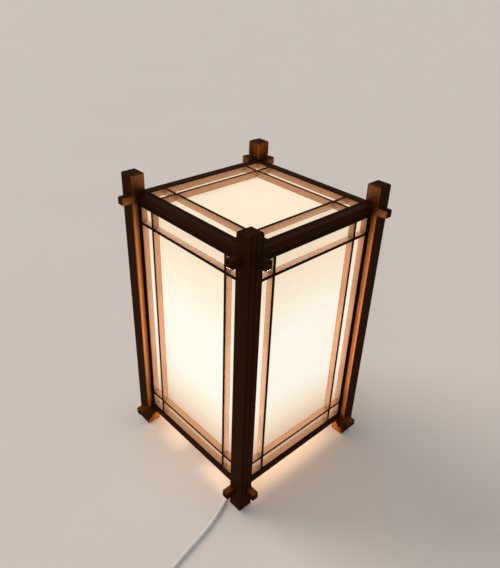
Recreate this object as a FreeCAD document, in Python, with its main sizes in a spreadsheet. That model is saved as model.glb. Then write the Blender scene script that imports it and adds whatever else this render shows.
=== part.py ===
import FreeCAD, Part
import math
import os
import re

import Sketcher
from FreeCAD import Placement, Rotation, Vector

# Andon floor lamp at its real size in millimetres. +Z is up, the feet stand on Z = 0 and the Z axis is the
# middle of the lamp. The front is -Y and the right side is +X.

doc = FreeCAD.newDocument("andon_lamp")
sheet = doc.addObject("Spreadsheet::Sheet", "sizes")

SIZES = {
    # posts and crossbars
    "post_width": 20,
    "post_length": 403,
    "post_pitch": 210,
    "post_end_chamfer": 1.6,
    "arris": 0.5,
    "bar_width": 10,
    "bar_height": 10,
    "bar_overhang": 13.4,
    "bar_end_chamfer": 1.2,
    "low_bar_underside": 25,
    "post_horn": 26,
    "joint_clearance": 0.05,
    "cut_overrun": 1,
    # lattice panels
    "panel_clearance": 0.1,
    "frame_face": 4.9,
    "frame_depth": 8,
    "frame_tenon": 3,
    "slat_face": 4,
    "slat_gap": 20,
    "slat_tenon": 1.5,
    "tenon_thickness": 1.8,
    "paper_thickness": 0.3,
    "paper_margin": 0.6,
    # board under the bulb and its dowels
    "board_width": 40,
    "board_thickness": 10,
    "dowel_radius": 2,
    "dowel_length": 16,
    "dowel_in_bar": 6,
    "dowel_pitch": 24,
    # lampholder
    "plate_length": 66,
    "plate_width": 38,
    "plate_height": 7,
    "plate_corner_round": 12,
    "holder_foot_radius": 18.9,
    "holder_mouth_radius": 18,
    "holder_floor": 21,
    "holder_rim_chamfer": 1,
    "chamber_radius": 14.5,
    "chamber_height": 12,
    "fixing_pitch": 50,
    "screw_radius": 1.7,
    "screw_length": 16,
    "screw_head_radius": 3.3,
    "screw_head_height": 1.8,
    "shell_wall": 0.4,
    "shell_length": 27,
    "contact_width": 6,
    "contact_thickness": 0.5,
    "contact_rise": 4,
    "contact_foot": 10,
    "contact_tip": 3,
    # bulb
    "cap_radius": 13.15,
    "cap_clearance": 0.1,
    "cap_wall": 0.5,
    "cap_length": 25,
    "cap_proud": 1.05,
    "tip_height": 3,
    "tip_radius": 4.8,
    "tip_end_radius": 3,
    "bulb_radius": 30,
    "bulb_height": 82,
    "neck_radius": 13.6,
    "neck_seat": 8,
    "neck_rise": 2,
    "glass_wall": 1,
    # cord
    "cord_diameter": 5,
    "sleeve_angle": -50,
    "sleeve_height": 6,
    "sleeve_seat": 12,
    "sleeve_length": 24,
    "sleeve_root_radius": 4.6,
    "sleeve_end_radius": 3.4,
    "sleeve_groove": 0.6,
    "sleeve_grooves": 5,
    "coil_inner_radius": 20.2,
    "coil_pitch": 5.5,
    "coil_turns": 3.5,
    "coil_climb_turns": 0.5,
    "lead_first_run": 15,
    "link_first_run": 10,
    "tail_first_run": 11,
    "tie_angle": 80,
    "tie_width": 5,
    "tie_thickness": 0.8,
    "tie_clearance": 0.4,
    "tie_corner_round": 2.2,
    # hand switch
    "switch_length": 60,
    "switch_width": 24,
    "switch_waist": 34,
    "switch_nose_width": 12,
    "switch_base_height": 5.5,
    "switch_cover_height": 9,
    "switch_corner_round": 2.5,
    "switch_edge_round": 1.6,
    "switch_foot_chamfer": 0.8,
    "switch_screw_x": 21,
    "switch_screw_y": 5.5,
    "switch_screw_radius": 1.2,
    "switch_screw_head_radius": 2.4,
    "switch_screw_head_height": 1.6,
    "switch_screw_length": 10,
    "switch_screw_recess": 0.5,
    "rocker_radius": 8.5,
    "rocker_width": 9,
    "rocker_drop": 3.5,
    "rocker_depth": 3,
    "rocker_clearance": 0.3,
    "rocker_pin_radius": 1.2,
    "rocker_pin_length": 1.6,
    "rocker_tilt": 9,
    # plug
    "plug_length": 24,
    "plug_width": 25,
    "plug_height": 16,
    "plug_edge_round": 3,
    "plug_grip_depth": 0.8,
    "plug_grip_length": 11,
    "nose_length": 24,
    "nose_root_radius": 5.6,
    "nose_end_radius": 3.3,
    "blade_pitch": 12.7,
    "blade_length": 17,
    "blade_seat": 6,
    "blade_width": 6.3,
    "blade_thickness": 1.5,
    "blade_tip_chamfer": 1.2,
    "blade_hole_radius": 1.6,
    "blade_hole_inset": 4.5,
}

# Sizes that follow from the ones above
DERIVED = {
    "post_offset": "post_pitch / 2",
    "bar_inner": "post_pitch / 2 - post_width / 2",
    "bar_offset": "bar_inner + bar_width / 2",
    "bar_face": "bar_inner + bar_width",
    "notch_side": "bar_face - post_offset + joint_clearance",
    "bar_reach": "post_pitch / 2 + post_width / 2 + bar_overhang",
    "high_bar_underside": "post_length - post_horn - bar_height",
    "high_bar_top": "post_length - post_horn",
    "low_bar_top": "low_bar_underside + bar_height",
    "panel_width": "2 * (bar_inner - panel_clearance)",
    "panel_height": "high_bar_underside - low_bar_top - 2 * panel_clearance",
    "panel_middle": "(high_bar_underside + low_bar_top) / 2",
    "board_top": "low_bar_underside + board_thickness",
    "board_length": "2 * (bar_inner - joint_clearance)",
    "shell_radius": "cap_radius + cap_clearance + shell_wall",
    "cap_seat": "holder_floor + contact_rise + joint_clearance + tip_height",
    "cap_top": "cap_seat + cap_length",
    "cap_bore_radius": "cap_radius - cap_wall",
    "holder_height": "cap_top - cap_proud",
    "bulb_centre": "cap_top + bulb_height - bulb_radius",
    "cord_radius": "cord_diameter / 2",
    "coil_outer_radius": "coil_inner_radius + coil_pitch * coil_turns",
    "coil_low": "cord_radius + tie_thickness + tie_clearance",
    "coil_high": "coil_low + coil_pitch",
    "switch_height": "switch_base_height + switch_cover_height",
    "pin_height": "switch_height - rocker_drop",
    "plug_middle": "plug_height / 2",
}

names = list(SIZES) + list(DERIVED)
for row, name in enumerate(names, start=1):
    sheet.set(f"A{row}", name)
    sheet.set(f"B{row}", str(SIZES[name]) if name in SIZES else "=" + DERIVED[name])
    sheet.setAlias(f"B{row}", name)
doc.recompute()

X_AXIS = Vector(1, 0, 0)
Y_AXIS = Vector(0, 1, 0)
Z_AXIS = Vector(0, 0, 1)
QUARTER_ANGLE = 90
TOLERANCE = 1e-6
parallel_share = 0.999


def size(name):
    return float(sheet.get(name))


def number(text):
    return float(sheet.evalExpression(text))


def formula(text):
    """The text as an expression in which each size is read from the sheet."""

    def word(found):
        return "sizes." + found.group() if found.group() in names else found.group()

    return re.sub(r"[a-z][a-z_]+", word, text)


def bind(item, **bound):
    """Ties properties of an object to formulas. A double underscore stands for a dot in a property's name."""
    for key, text in bound.items():
        item.setExpression(key.replace("__", "."), formula(text))
    return item


def place(item, x="0", y="0", z="0", axis=Z_AXIS, angle=0):
    item.Placement = Placement(Vector(number(x), number(y), number(z)), Rotation(axis, angle))
    bind(item, Placement__Base__x=x, Placement__Base__y=y, Placement__Base__z=z)
    return item


# Sketch and feature helpers


def new_body(label):
    body = doc.addObject("PartDesign::Body", label)
    body.Label = label
    return body


def sketch_on(body, role, name, lift="0"):
    sketch = body.newObject("Sketcher::SketchObject", name)
    origin_plane = next(item for item in body.Origin.OriginFeatures if item.Role == role)
    sketch.AttachmentSupport = [(origin_plane, "")]
    sketch.MapMode = "FlatFace"
    bind(sketch, AttachmentOffset__Base__z=lift)
    return sketch


def pin_point(sketch, edge, end, x, y):
    """Holds one end of an edge at the formulas x and y."""
    for kind, axis, text in (("DistanceX", -2, x), ("DistanceY", -1, y)):
        if text == "0":
            sketch.addConstraint(Sketcher.Constraint("PointOnObject", edge, end, axis))
        else:
            held = sketch.addConstraint(Sketcher.Constraint(kind, edge, end, number(text)))
            sketch.setExpression(f"Constraints[{held}]", formula(text))


def outline(sketch, corners):
    """A closed outline of straight edges through corners given as pairs of formulas."""
    first = sketch.GeometryCount
    spots = [Vector(number(x), number(y), 0) for x, y in corners]
    count = len(corners)
    for k in range(count):
        sketch.addGeometry(Part.LineSegment(spots[k], spots[(k + 1) % count]), False)
    for k in range(count):
        following = first + (k + 1) % count
        sketch.addConstraint(Sketcher.Constraint("Coincident", first + k, 2, following, 1))
    for k, (x, y) in enumerate(corners):
        pin_point(sketch, first + k, 1, x, y)
    return sketch


def rectangle(sketch, x0, x1, y0, y1):
    return outline(sketch, [(x0, y0), (x1, y0), (x1, y1), (x0, y1)])


def circle(sketch, x, y, radius):
    spot = Vector(number(x), number(y), 0)
    edge = sketch.addGeometry(Part.Circle(spot, Z_AXIS, number(radius)), False)
    held = sketch.addConstraint(Sketcher.Constraint("Radius", edge, number(radius)))
    sketch.setExpression(f"Constraints[{held}]", formula(radius))
    pin_point(sketch, edge, 3, x, y)
    return sketch


def extrude(body, kind, sketch, length, symmetric=False, backward=False, through=False):
    """A Pad or a Pocket."""
    feature = body.newObject("PartDesign::" + kind, sketch.Name + "_" + kind.lower())
    feature.Profile = sketch
    feature.SideType = "Symmetric" if symmetric else "One side"
    feature.Reversed = backward
    if through:
        feature.Type = "ThroughAll"
    else:
        bind(feature, Length=length)
    return feature


def turn(body, sketch, kind="Revolution", axis="V_Axis"):
    """A Revolution or a Groove through a full turn about an axis of the sketch."""
    feature = body.newObject("PartDesign::" + kind, sketch.Name + "_turned")
    feature.Profile = sketch
    feature.ReferenceAxis = (sketch, [axis])
    feature.Angle = 360
    return feature


def edges_of(feature, test):
    doc.recompute()
    return [f"Edge{k}" for k, edge in enumerate(feature.Shape.Edges, start=1) if test(edge)]


def along(axis):
    """A test for straight edges that run along an axis."""

    def test(edge):
        if not isinstance(edge.Curve, (Part.Line, Part.LineSegment)):
            return False
        return abs(edge.tangentAt(edge.FirstParameter).dot(axis)) > parallel_share

    return test


def level(axis, heights):
    """A test for edges that lie wholly in one of the planes at the given heights on an axis."""

    def test(edge):
        spots = [edge.valueAt(p) for p in (edge.FirstParameter, edge.LastParameter)]
        return any(all(abs(spot.dot(axis) - height) < TOLERANCE for spot in spots) for height in heights)

    return test


def dress(body, kind, feature, edges, amount):
    """A Fillet or a Chamfer on the named edges."""
    dressed = body.newObject("PartDesign::" + kind, feature.Name + "_" + kind.lower())
    dressed.Base = (feature, edges)
    bind(dressed, **{"Radius" if kind == "Fillet" else "Size": amount})
    body.Tip = dressed
    return dressed


def block(name, x0, x1, y0, y1, z0, z1):
    """A box between formulas for its faces."""
    box = doc.addObject("Part::Box", name)
    bind(box, Length=f"({x1}) - ({x0})", Width=f"({y1}) - ({y0})", Height=f"({z1}) - ({z0})")
    return place(box, x0, y0, z0)


def group(label, members):
    held = doc.addObject("Part::Compound", label)
    held.Label = label
    held.Links = members
    return held


def cut(label, base, tools):
    taken = doc.addObject("Part::Cut", label)
    taken.Label = label
    taken.Base = base
    taken.Tool = tools[0] if len(tools) == 1 else group(label + "_tools", tools)
    return taken


def fuse(label, members):
    joined = doc.addObject("Part::MultiFuse", label)
    joined.Label = label
    joined.Shapes = members
    joined.Refine = True
    return joined


def mirrored(name, source, normal):
    copy = doc.addObject("Part::Mirroring", name)
    copy.Source = source
    copy.Normal = normal
    return copy


nodes = []


def finished(item):
    """Keeps an object as a piece of the lamp."""
    nodes.append(item)
    return item


# Posts: square, with their ends chamfered. At each square of crossbars the inner corner of the post is
# notched away, so that only its outer quarter runs through and the crossing bars lie in the notch.


def post(label, quarter):
    body = new_body(label)
    section = sketch_on(body, "XY_Plane", label + "_section")
    rectangle(section, "-post_width / 2", "post_width / 2", "-post_width / 2", "post_width / 2")
    shaft = extrude(body, "Pad", section, "post_length")
    end_edges = edges_of(shaft, level(Z_AXIS, (0, size("post_length"))))
    ends = dress(body, "Chamfer", shaft, end_edges, "post_end_chamfer")
    dress(body, "Chamfer", ends, edges_of(ends, along(Z_AXIS)), "arris")
    past = "(post_width / 2 + cut_overrun)"
    for name, underside in (("low", "low_bar_underside"), ("high", "high_bar_underside")):
        lift = underside + " + bar_height + joint_clearance"
        notch = sketch_on(body, "XY_Plane", f"{label}_{name}_notch", lift)
        outline(
            notch,
            [
                ("-" + past, "-" + past),
                (past, "-" + past),
                (past, "notch_side"),
                ("notch_side", "notch_side"),
                ("notch_side", past),
                ("-" + past, past),
            ],
        )
        extrude(body, "Pocket", notch, "bar_height + joint_clearance")
    signs = [("", ""), ("-", ""), ("-", "-"), ("", "-")][quarter]
    place(body, signs[0] + "post_offset", signs[1] + "post_offset", "0", Z_AXIS, QUARTER_ANGLE * quarter)
    return finished(body)


POSTS = ("post_back_right", "post_back_left", "post_front_left", "post_front_right")
for quarter, label in enumerate(POSTS):
    post(label, quarter)


# Crossbars: each pair of crossing bars is half-lapped inside the post. The front and back bars keep their
# lower half at the crossing, the side bars keep their upper half. The inner face of a bar is its local +Y.


def crossbar(label, quarter, underside, drilled):
    body = new_body(label)
    section = sketch_on(body, "YZ_Plane", label + "_section")
    rectangle(section, "-bar_width / 2", "bar_width / 2", "-bar_height / 2", "bar_height / 2")
    rod = extrude(body, "Pad", section, "2 * bar_reach", symmetric=True)
    reach = size("bar_reach")
    ends = dress(body, "Chamfer", rod, edges_of(rod, level(X_AXIS, (-reach, reach))), "bar_end_chamfer")
    dress(body, "Chamfer", ends, edges_of(ends, along(X_AXIS)), "arris")
    laps = sketch_on(body, "XY_Plane", label + "_laps")
    half = "(bar_width / 2 + joint_clearance)"
    past = "(bar_width / 2 + cut_overrun)"
    rectangle(laps, f"-bar_offset - {half}", f"-bar_offset + {half}", "-" + past, past)
    rectangle(laps, f"bar_offset - {half}", f"bar_offset + {half}", "-" + past, past)
    extrude(body, "Pocket", laps, "", backward=quarter % 2 == 0, through=True)
    if drilled:
        holes = sketch_on(body, "XZ_Plane", label + "_dowel_holes", "-bar_width / 2")
        for side in ("-", ""):
            circle(holes, side + "dowel_pitch / 2", "0", "dowel_radius + joint_clearance")
        extrude(body, "Pocket", holes, "dowel_in_bar + joint_clearance", backward=True)
    spot = [("0", "-bar_offset"), ("bar_offset", "0"), ("0", "bar_offset"), ("-bar_offset", "0")][quarter]
    place(body, spot[0], spot[1], underside + " + bar_height / 2", Z_AXIS, QUARTER_ANGLE * quarter)
    return finished(body)


SIDES = ("front", "right", "back", "left")
for quarter, side in enumerate(SIDES):
    crossbar("bottom_crossbar_" + side, quarter, "low_bar_underside", drilled=quarter % 2 == 0)
    crossbar("top_crossbar_" + side, quarter, "high_bar_underside", drilled=False)


# Lattice panels. A panel is drawn upright about its own middle: X across, Y from its front face inwards and
# Z up. The rails have tongues in open slots of the stiles, the slats have stub tenons in the frame, and
# crossing slats are half-lapped flush. The paper is glued to the inner side of frame and slats.


def panel(side, width, height, x, y, z, axis, angle):
    across = f"({width} / 2)"
    up = f"({height} / 2)"
    inner_x = f"({across} - frame_face)"
    inner_z = f"({up} - frame_face)"
    slat_x = f"({inner_x} - slat_gap - slat_face / 2)"
    slat_z = f"({inner_z} - slat_gap - slat_face / 2)"
    tongue = ("frame_depth / 4 + joint_clearance", "3 * frame_depth / 4 - joint_clearance")
    slot = ("frame_depth / 4", "3 * frame_depth / 4")
    half_slat = "(slat_face / 2)"
    half_stub = "(tenon_thickness / 2 - joint_clearance)"
    half_mortise = "(tenon_thickness / 2)"
    half_lap = "(slat_face / 2 + joint_clearance)"
    at = dict(x=x, y=y, z=z, axis=axis, angle=angle)

    # left stile, with a slot for each rail and a mortise for each crossing slat
    name = side + "_stile"
    stile = block(name + "_blank", "-" + across, "-" + inner_x, "0", "frame_depth", "-" + up, up)
    slots = []
    for k, sign in enumerate(("-", "")):
        low, high = (f"-{up} - cut_overrun", "-" + inner_z) if sign else (inner_z, f"{up} + cut_overrun")
        near = f"-{inner_x} - frame_tenon"
        slots.append(block(f"{name}_slot{k}", near, f"-{inner_x} + cut_overrun", *slot, low, high))
        near = f"-{inner_x} - slat_tenon"
        low, high = f"{sign}{slat_z} - {half_mortise}", f"{sign}{slat_z} + {half_mortise}"
        slots.append(block(f"{name}_mortise{k}", near, f"-{inner_x} + cut_overrun", *slot, low, high))
    left = cut(name, stile, slots)
    right = mirrored(name + "_right", left, X_AXIS)
    finished(place(group(side + "_panel_stiles", [left, right]), **at))

    # lower rail, with its tongues and a mortise for each upright slat
    name = side + "_rail"
    reach = f"({inner_x} + frame_tenon - joint_clearance)"
    bar = block(name + "_blank", "-" + inner_x, inner_x, "0", "frame_depth", "-" + up, "-" + inner_z)
    tongues = block(name + "_tongues", "-" + reach, reach, *tongue, "-" + up, "-" + inner_z)
    mortises = []
    for k, sign in enumerate(("-", "")):
        low, high = f"{sign}{slat_x} - {half_mortise}", f"{sign}{slat_x} + {half_mortise}"
        deep = f"-{inner_z} - slat_tenon"
        mortises.append(block(f"{name}_mortise{k}", low, high, *slot, deep, f"-{inner_z} + cut_overrun"))
    lower = cut(name, fuse(name + "_whole", [bar, tongues]), mortises)
    upper = mirrored(name + "_upper", lower, Z_AXIS)
    finished(place(group(side + "_panel_rails", [lower, upper]), **at))

    # left upright slat, lapped from behind
    name = side + "_upright"
    stub = f"({inner_z} + slat_tenon - joint_clearance)"
    x0, x1 = f"-{slat_x} - {half_slat}", f"-{slat_x} + {half_slat}"
    body = block(name + "_blank", x0, x1, "0", "frame_depth", "-" + inner_z, inner_z)
    x2, x3 = f"-{slat_x} - {half_stub}", f"-{slat_x} + {half_stub}"
    stubs = block(name + "_stubs", x2, x3, *tongue, "-" + stub, stub)
    x4, x5 = f"{x0} - cut_overrun", f"{x1} + cut_overrun"
    behind = ("frame_depth / 2", "frame_depth + cut_overrun")
    laps = []
    for k, sign in enumerate(("-", "")):
        low, high = f"{sign}{slat_z} - {half_lap}", f"{sign}{slat_z} + {half_lap}"
        laps.append(block(f"{name}_lap{k}", x4, x5, *behind, low, high))
    upright = cut(name, fuse(name + "_whole", [body, stubs]), laps)
    other = mirrored(name + "_right", upright, X_AXIS)
    finished(place(group(side + "_lattice_uprights", [upright, other]), **at))

    # lower crossing slat, lapped from the front
    name = side + "_cross"
    stub = f"({inner_x} + slat_tenon - joint_clearance)"
    z0, z1 = f"-{slat_z} - {half_slat}", f"-{slat_z} + {half_slat}"
    body = block(name + "_blank", "-" + inner_x, inner_x, "0", "frame_depth", z0, z1)
    z2, z3 = f"-{slat_z} - {half_stub}", f"-{slat_z} + {half_stub}"
    stubs = block(name + "_stubs", "-" + stub, stub, *tongue, z2, z3)
    z4, z5 = f"{z0} - cut_overrun", f"{z1} + cut_overrun"
    before = ("-cut_overrun", "frame_depth / 2")
    laps = []
    for k, sign in enumerate(("-", "")):
        low, high = f"{sign}{slat_x} - {half_lap}", f"{sign}{slat_x} + {half_lap}"
        laps.append(block(f"{name}_lap{k}", low, high, *before, z4, z5))
    cross = cut(name, fuse(name + "_whole", [body, stubs]), laps)
    other = mirrored(name + "_upper", cross, Z_AXIS)
    finished(place(group(side + "_lattice_crosses", [cross, other]), **at))

    # paper, laid on the inner side
    edge_x, edge_z = f"({across} - paper_margin)", f"({up} - paper_margin)"
    rear = "frame_depth + paper_thickness"
    paper = block(side + "_sheet", "-" + edge_x, edge_x, "frame_depth", rear, "-" + edge_z, edge_z)
    finished(place(group(side + "_paper", [paper]), **at))


for quarter, side in enumerate(SIDES):
    spot = [("0", "-bar_face"), ("bar_face", "0"), ("0", "bar_face"), ("-bar_face", "0")][quarter]
    panel(side, "panel_width", "panel_height", *spot, "panel_middle", Z_AXIS, QUARTER_ANGLE * quarter)
panel("top", "panel_width", "panel_width", "0", "0", "high_bar_top", X_AXIS, -QUARTER_ANGLE)


# Board across the bottom, between the front and back crossbars, on four dowels. It carries the lampholder.

board = new_body("cross_board")
blank = sketch_on(board, "XY_Plane", "board_outline", "low_bar_underside")
rectangle(blank, "-board_width / 2", "board_width / 2", "-board_length / 2", "board_length / 2")
plank = extrude(board, "Pad", blank, "board_thickness")
dress(board, "Chamfer", plank, edges_of(plank, along(Y_AXIS)), "arris")
dowel_level = "low_bar_underside + bar_height / 2"
for name, end, backward in (("front", "", False), ("back", "-", True)):
    holes = sketch_on(board, "XZ_Plane", f"board_holes_{name}", end + "board_length / 2")
    for side in ("-", ""):
        circle(holes, side + "dowel_pitch / 2", dowel_level, "dowel_radius + joint_clearance")
    extrude(board, "Pocket", holes, "dowel_length - dowel_in_bar", backward=backward)
pilots = sketch_on(board, "XY_Plane", "board_pilots", "board_top")
for side in ("-", ""):
    circle(pilots, "0", side + "fixing_pitch / 2", "screw_radius + joint_clearance")
extrude(board, "Pocket", pilots, "screw_length - plate_height + joint_clearance")
finished(board)

dowels = []
for end in ("-", ""):
    for side in ("-", ""):
        dowel = doc.addObject("Part::Cylinder", f"dowel{len(dowels)}")
        bind(dowel, Radius="dowel_radius", Height="dowel_length")
        start = "-bar_inner - dowel_in_bar" if end else "bar_inner + dowel_in_bar"
        tilt = -QUARTER_ANGLE if end else QUARTER_ANGLE
        place(dowel, side + "dowel_pitch / 2", start, dowel_level, X_AXIS, tilt)
        dowels.append(dowel)
finished(group("board_dowels", dowels))


# Lampholder, drawn on the board's top: an oblong plate under a tapered barrel. Below is a wiring chamber,
# above it a bore for the brass shell, and a hole in the side takes the cord's sleeve.


def standing(item):
    return finished(place(item, "0", "0", "board_top"))


def revolved(name, corners):
    """A body turned about Z from the corners of half of its section."""
    body = new_body(name)
    turn(body, outline(sketch_on(body, "XZ_Plane", name + "_profile"), corners))
    return body


barrel = new_body("lampholder_blank")
plate = sketch_on(barrel, "XY_Plane", "plate_outline")
rectangle(plate, "-plate_width / 2", "plate_width / 2", "-plate_length / 2", "plate_length / 2")
slab = extrude(barrel, "Pad", plate, "plate_height")
dress(barrel, "Fillet", slab, edges_of(slab, along(Z_AXIS)), "plate_corner_round")
form = sketch_on(barrel, "XZ_Plane", "barrel_profile")
outline(
    form,
    [
        ("0", "0"),
        ("holder_foot_radius", "0"),
        ("holder_foot_radius", "plate_height + holder_rim_chamfer"),
        ("holder_mouth_radius", "holder_height - holder_rim_chamfer"),
        ("holder_mouth_radius - holder_rim_chamfer", "holder_height"),
        ("0", "holder_height"),
    ],
)
turn(barrel, form)
bore = sketch_on(barrel, "XY_Plane", "barrel_bore", "holder_height")
circle(bore, "0", "0", "shell_radius + joint_clearance")
extrude(barrel, "Pocket", bore, "holder_height - holder_floor")
chamber = sketch_on(barrel, "XY_Plane", "wiring_chamber")
circle(chamber, "0", "0", "chamber_radius")
extrude(barrel, "Pocket", chamber, "chamber_height", backward=True)
holes = sketch_on(barrel, "XY_Plane", "plate_holes", "plate_height")
for sign in ("-", ""):
    circle(holes, "0", sign + "fixing_pitch / 2", "screw_radius + joint_clearance")
extrude(barrel, "Pocket", holes, "", through=True)
openings = []
for k, sign in enumerate(("-", "")):
    cone = doc.addObject("Part::Cone", f"countersink{k}")
    bind(cone, Radius1="screw_radius + joint_clearance", Radius2="screw_head_radius + joint_clearance")
    bind(cone, Height="screw_head_height")
    openings.append(place(cone, "0", sign + "fixing_pitch / 2", "plate_height - screw_head_height"))
sleeve_hole = doc.addObject("Part::Cylinder", "sleeve_hole")
bind(sleeve_hole, Radius="sleeve_root_radius + joint_clearance", Height="plate_length")
place(sleeve_hole, "0", "0", "sleeve_height")
sleeve_turn = Rotation(Z_AXIS, size("sleeve_angle")) * Rotation(Y_AXIS, QUARTER_ANGLE)
sleeve_hole.Placement.Rotation = sleeve_turn
openings.append(sleeve_hole)
standing(cut("lampholder_body", barrel, openings))

fixings = []
for k, sign in enumerate(("-", "")):
    fixing = revolved(
        f"holder_screw{k}",
        [
            ("0", "0"),
            ("screw_head_radius", "0"),
            ("screw_radius", "-screw_head_height"),
            ("screw_radius", "screw_radius - screw_length"),
            ("0", "-screw_length"),
        ],
    )
    fixings.append(place(fixing, "0", sign + "fixing_pitch / 2", "plate_height"))
standing(group("lampholder_screws", fixings))

shell = [
    ("shell_radius - shell_wall", "holder_floor"),
    ("shell_radius", "holder_floor"),
    ("shell_radius", "holder_floor + shell_length"),
    ("shell_radius - shell_wall", "holder_floor + shell_length"),
]
standing(revolved("lampholder_shell", shell))

contact = new_body("lampholder_contact")
strip = sketch_on(contact, "XZ_Plane", "contact_profile")
raised = "(holder_floor + contact_rise)"
outline(
    strip,
    [
        ("-contact_foot", "holder_floor"),
        ("-contact_tip", "holder_floor"),
        ("0", f"{raised} - contact_thickness"),
        ("contact_tip", f"{raised} - contact_thickness"),
        ("contact_tip", raised),
        ("-contact_thickness", raised),
        ("-contact_tip - contact_thickness", "holder_floor + contact_thickness"),
        ("-contact_foot", "holder_floor + contact_thickness"),
    ],
)
extrude(contact, "Pad", strip, "contact_width", symmetric=True)
standing(contact)


# Bulb, drawn on the board's top as it sits in the holder: cap, contact tip and a pear-shaped glass.

cap = [
    ("tip_radius", "cap_seat"),
    ("cap_radius - cap_wall", "cap_seat"),
    ("cap_radius", "cap_seat + cap_wall"),
    ("cap_radius", "cap_top"),
    ("cap_bore_radius", "cap_top"),
    ("cap_bore_radius", "cap_seat + 2 * cap_wall"),
    ("cap_bore_radius - cap_wall", "cap_seat + cap_wall"),
    ("tip_radius", "cap_seat + cap_wall"),
]
standing(revolved("bulb_cap", cap))

tip = [
    ("0", "cap_seat - tip_height"),
    ("tip_end_radius", "cap_seat - tip_height"),
    ("tip_radius", "cap_seat"),
    ("tip_radius", "cap_seat + cap_wall"),
    ("0", "cap_seat + cap_wall"),
]
standing(revolved("bulb_tip", tip))


def pear(name, inset, below):
    """The glass form drawn in by an inset: a ball, and a cone that leaves it as a tangent to the neck."""
    body = new_body(name)
    profile = sketch_on(body, "XZ_Plane", name + "_profile")
    ball = number(f"bulb_radius - {inset}")
    neck = number(f"neck_radius - {inset}")
    middle = size("bulb_centre")
    foot = number("cap_top + neck_rise")
    seat = number(f"cap_bore_radius - joint_clearance - {inset}")
    base = number(f"cap_top - neck_seat - {below}")
    lean = math.atan2(foot - middle, neck) + math.acos(ball / math.hypot(neck, middle - foot))
    touch = Vector(ball * math.cos(lean), middle + ball * math.sin(lean), 0)
    top = Vector(0, middle + ball, 0)
    spots = [touch, Vector(neck, foot, 0), Vector(seat, size("cap_top"), 0), Vector(seat, base, 0)]
    spots += [Vector(0, base, 0), top]
    arc = Part.ArcOfCircle(Part.Circle(Vector(0, middle, 0), Z_AXIS, ball), lean, math.pi / 2)
    profile.addGeometry(arc, False)
    for here, there in zip(spots, spots[1:]):
        profile.addGeometry(Part.LineSegment(here, there), False)
    profile.addConstraint(Sketcher.Constraint("Tangent", 0, 1, 1, 1))
    for k in range(1, 5):
        profile.addConstraint(Sketcher.Constraint("Coincident", k, 2, k + 1, 1))
    profile.addConstraint(Sketcher.Constraint("Coincident", 5, 2, 0, 2))
    held = profile.addConstraint(Sketcher.Constraint("Radius", 0, ball))
    profile.setExpression(f"Constraints[{held}]", formula(f"bulb_radius - {inset}"))
    pin_point(profile, 0, 3, "0", "bulb_centre")
    pin_point(profile, 2, 1, f"neck_radius - {inset}", "cap_top + neck_rise")
    in_cap = f"cap_bore_radius - joint_clearance - {inset}"
    pin_point(profile, 3, 1, in_cap, "cap_top")
    pin_point(profile, 4, 1, in_cap, f"cap_top - neck_seat - {below}")
    pin_point(profile, 5, 1, "0", f"cap_top - neck_seat - {below}")
    profile.addConstraint(Sketcher.Constraint("PointOnObject", 5, 2, -2))
    turn(body, profile)
    return body


outside = pear("glass_outside", "0", "0")
standing(cut("bulb_envelope", outside, [pear("glass_inside", "glass_wall", "cut_overrun")]))


# Cord. Its tube is straight runs joined by tangent arcs, each as large as its two runs allow.

arc_share = 0.45


def arc_between(start, corner, end, radius):
    """The arc that is tangent to the two legs of a corner, from start to end."""
    middle = (start + end) / 2
    out = (middle - corner).normalize()
    half_turn = (corner - start).getAngle(end - corner) / 2
    crown = corner + out * radius * (1 / math.cos(half_turn) - 1)
    return Part.Arc(start, crown, end).toShape()


def tube(label, edges):
    """A cord along edges that join end to end as tangents."""
    spine = Part.Wire(edges)
    start = edges[0].valueAt(edges[0].FirstParameter)
    heading = edges[0].tangentAt(edges[0].FirstParameter)
    ring = Part.Wire(Part.makeCircle(size("cord_radius"), start, heading))
    cord = doc.addObject("Part::Feature", label)
    cord.Label = label
    cord.Shape = spine.makePipeShell([ring], True, False)
    cord.Placement = Placement()
    share = cord.Shape.Volume / (math.pi * size("cord_radius") ** 2 * spine.Length)
    print(f"{label}: {spine.Length:.1f} mm long, volume over section times length {share:.4f}")
    return finished(cord)


def laid_cord(label, route):
    """A cord along a route of points. Its arcs' radii are printed."""
    edges = []
    radii = []
    here = route[0]
    for before, corner, after in zip(route, route[1:], route[2:]):
        into = corner - before
        onward = after - corner
        half_turn = into.getAngle(onward) / 2
        reach = arc_share * min(into.Length, onward.Length)
        radii.append(reach / math.tan(half_turn))
        start = corner - into.normalize() * reach
        end = corner + onward.normalize() * reach
        edges.append(Part.LineSegment(here, start).toShape())
        edges.append(arc_between(start, corner, end, radii[-1]))
        here = end
    edges.append(Part.LineSegment(here, route[-1]).toShape())
    print(label, "radii", ", ".join(f"{radius:.0f}" for radius in radii))
    return tube(label, edges)


def heading_of(route):
    return (route[-1] - route[-2]).normalize()


def ahead(spot, heading, distance):
    return spot + Vector(heading) * distance


# sleeve in the lampholder's side, tapered and grooved

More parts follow.
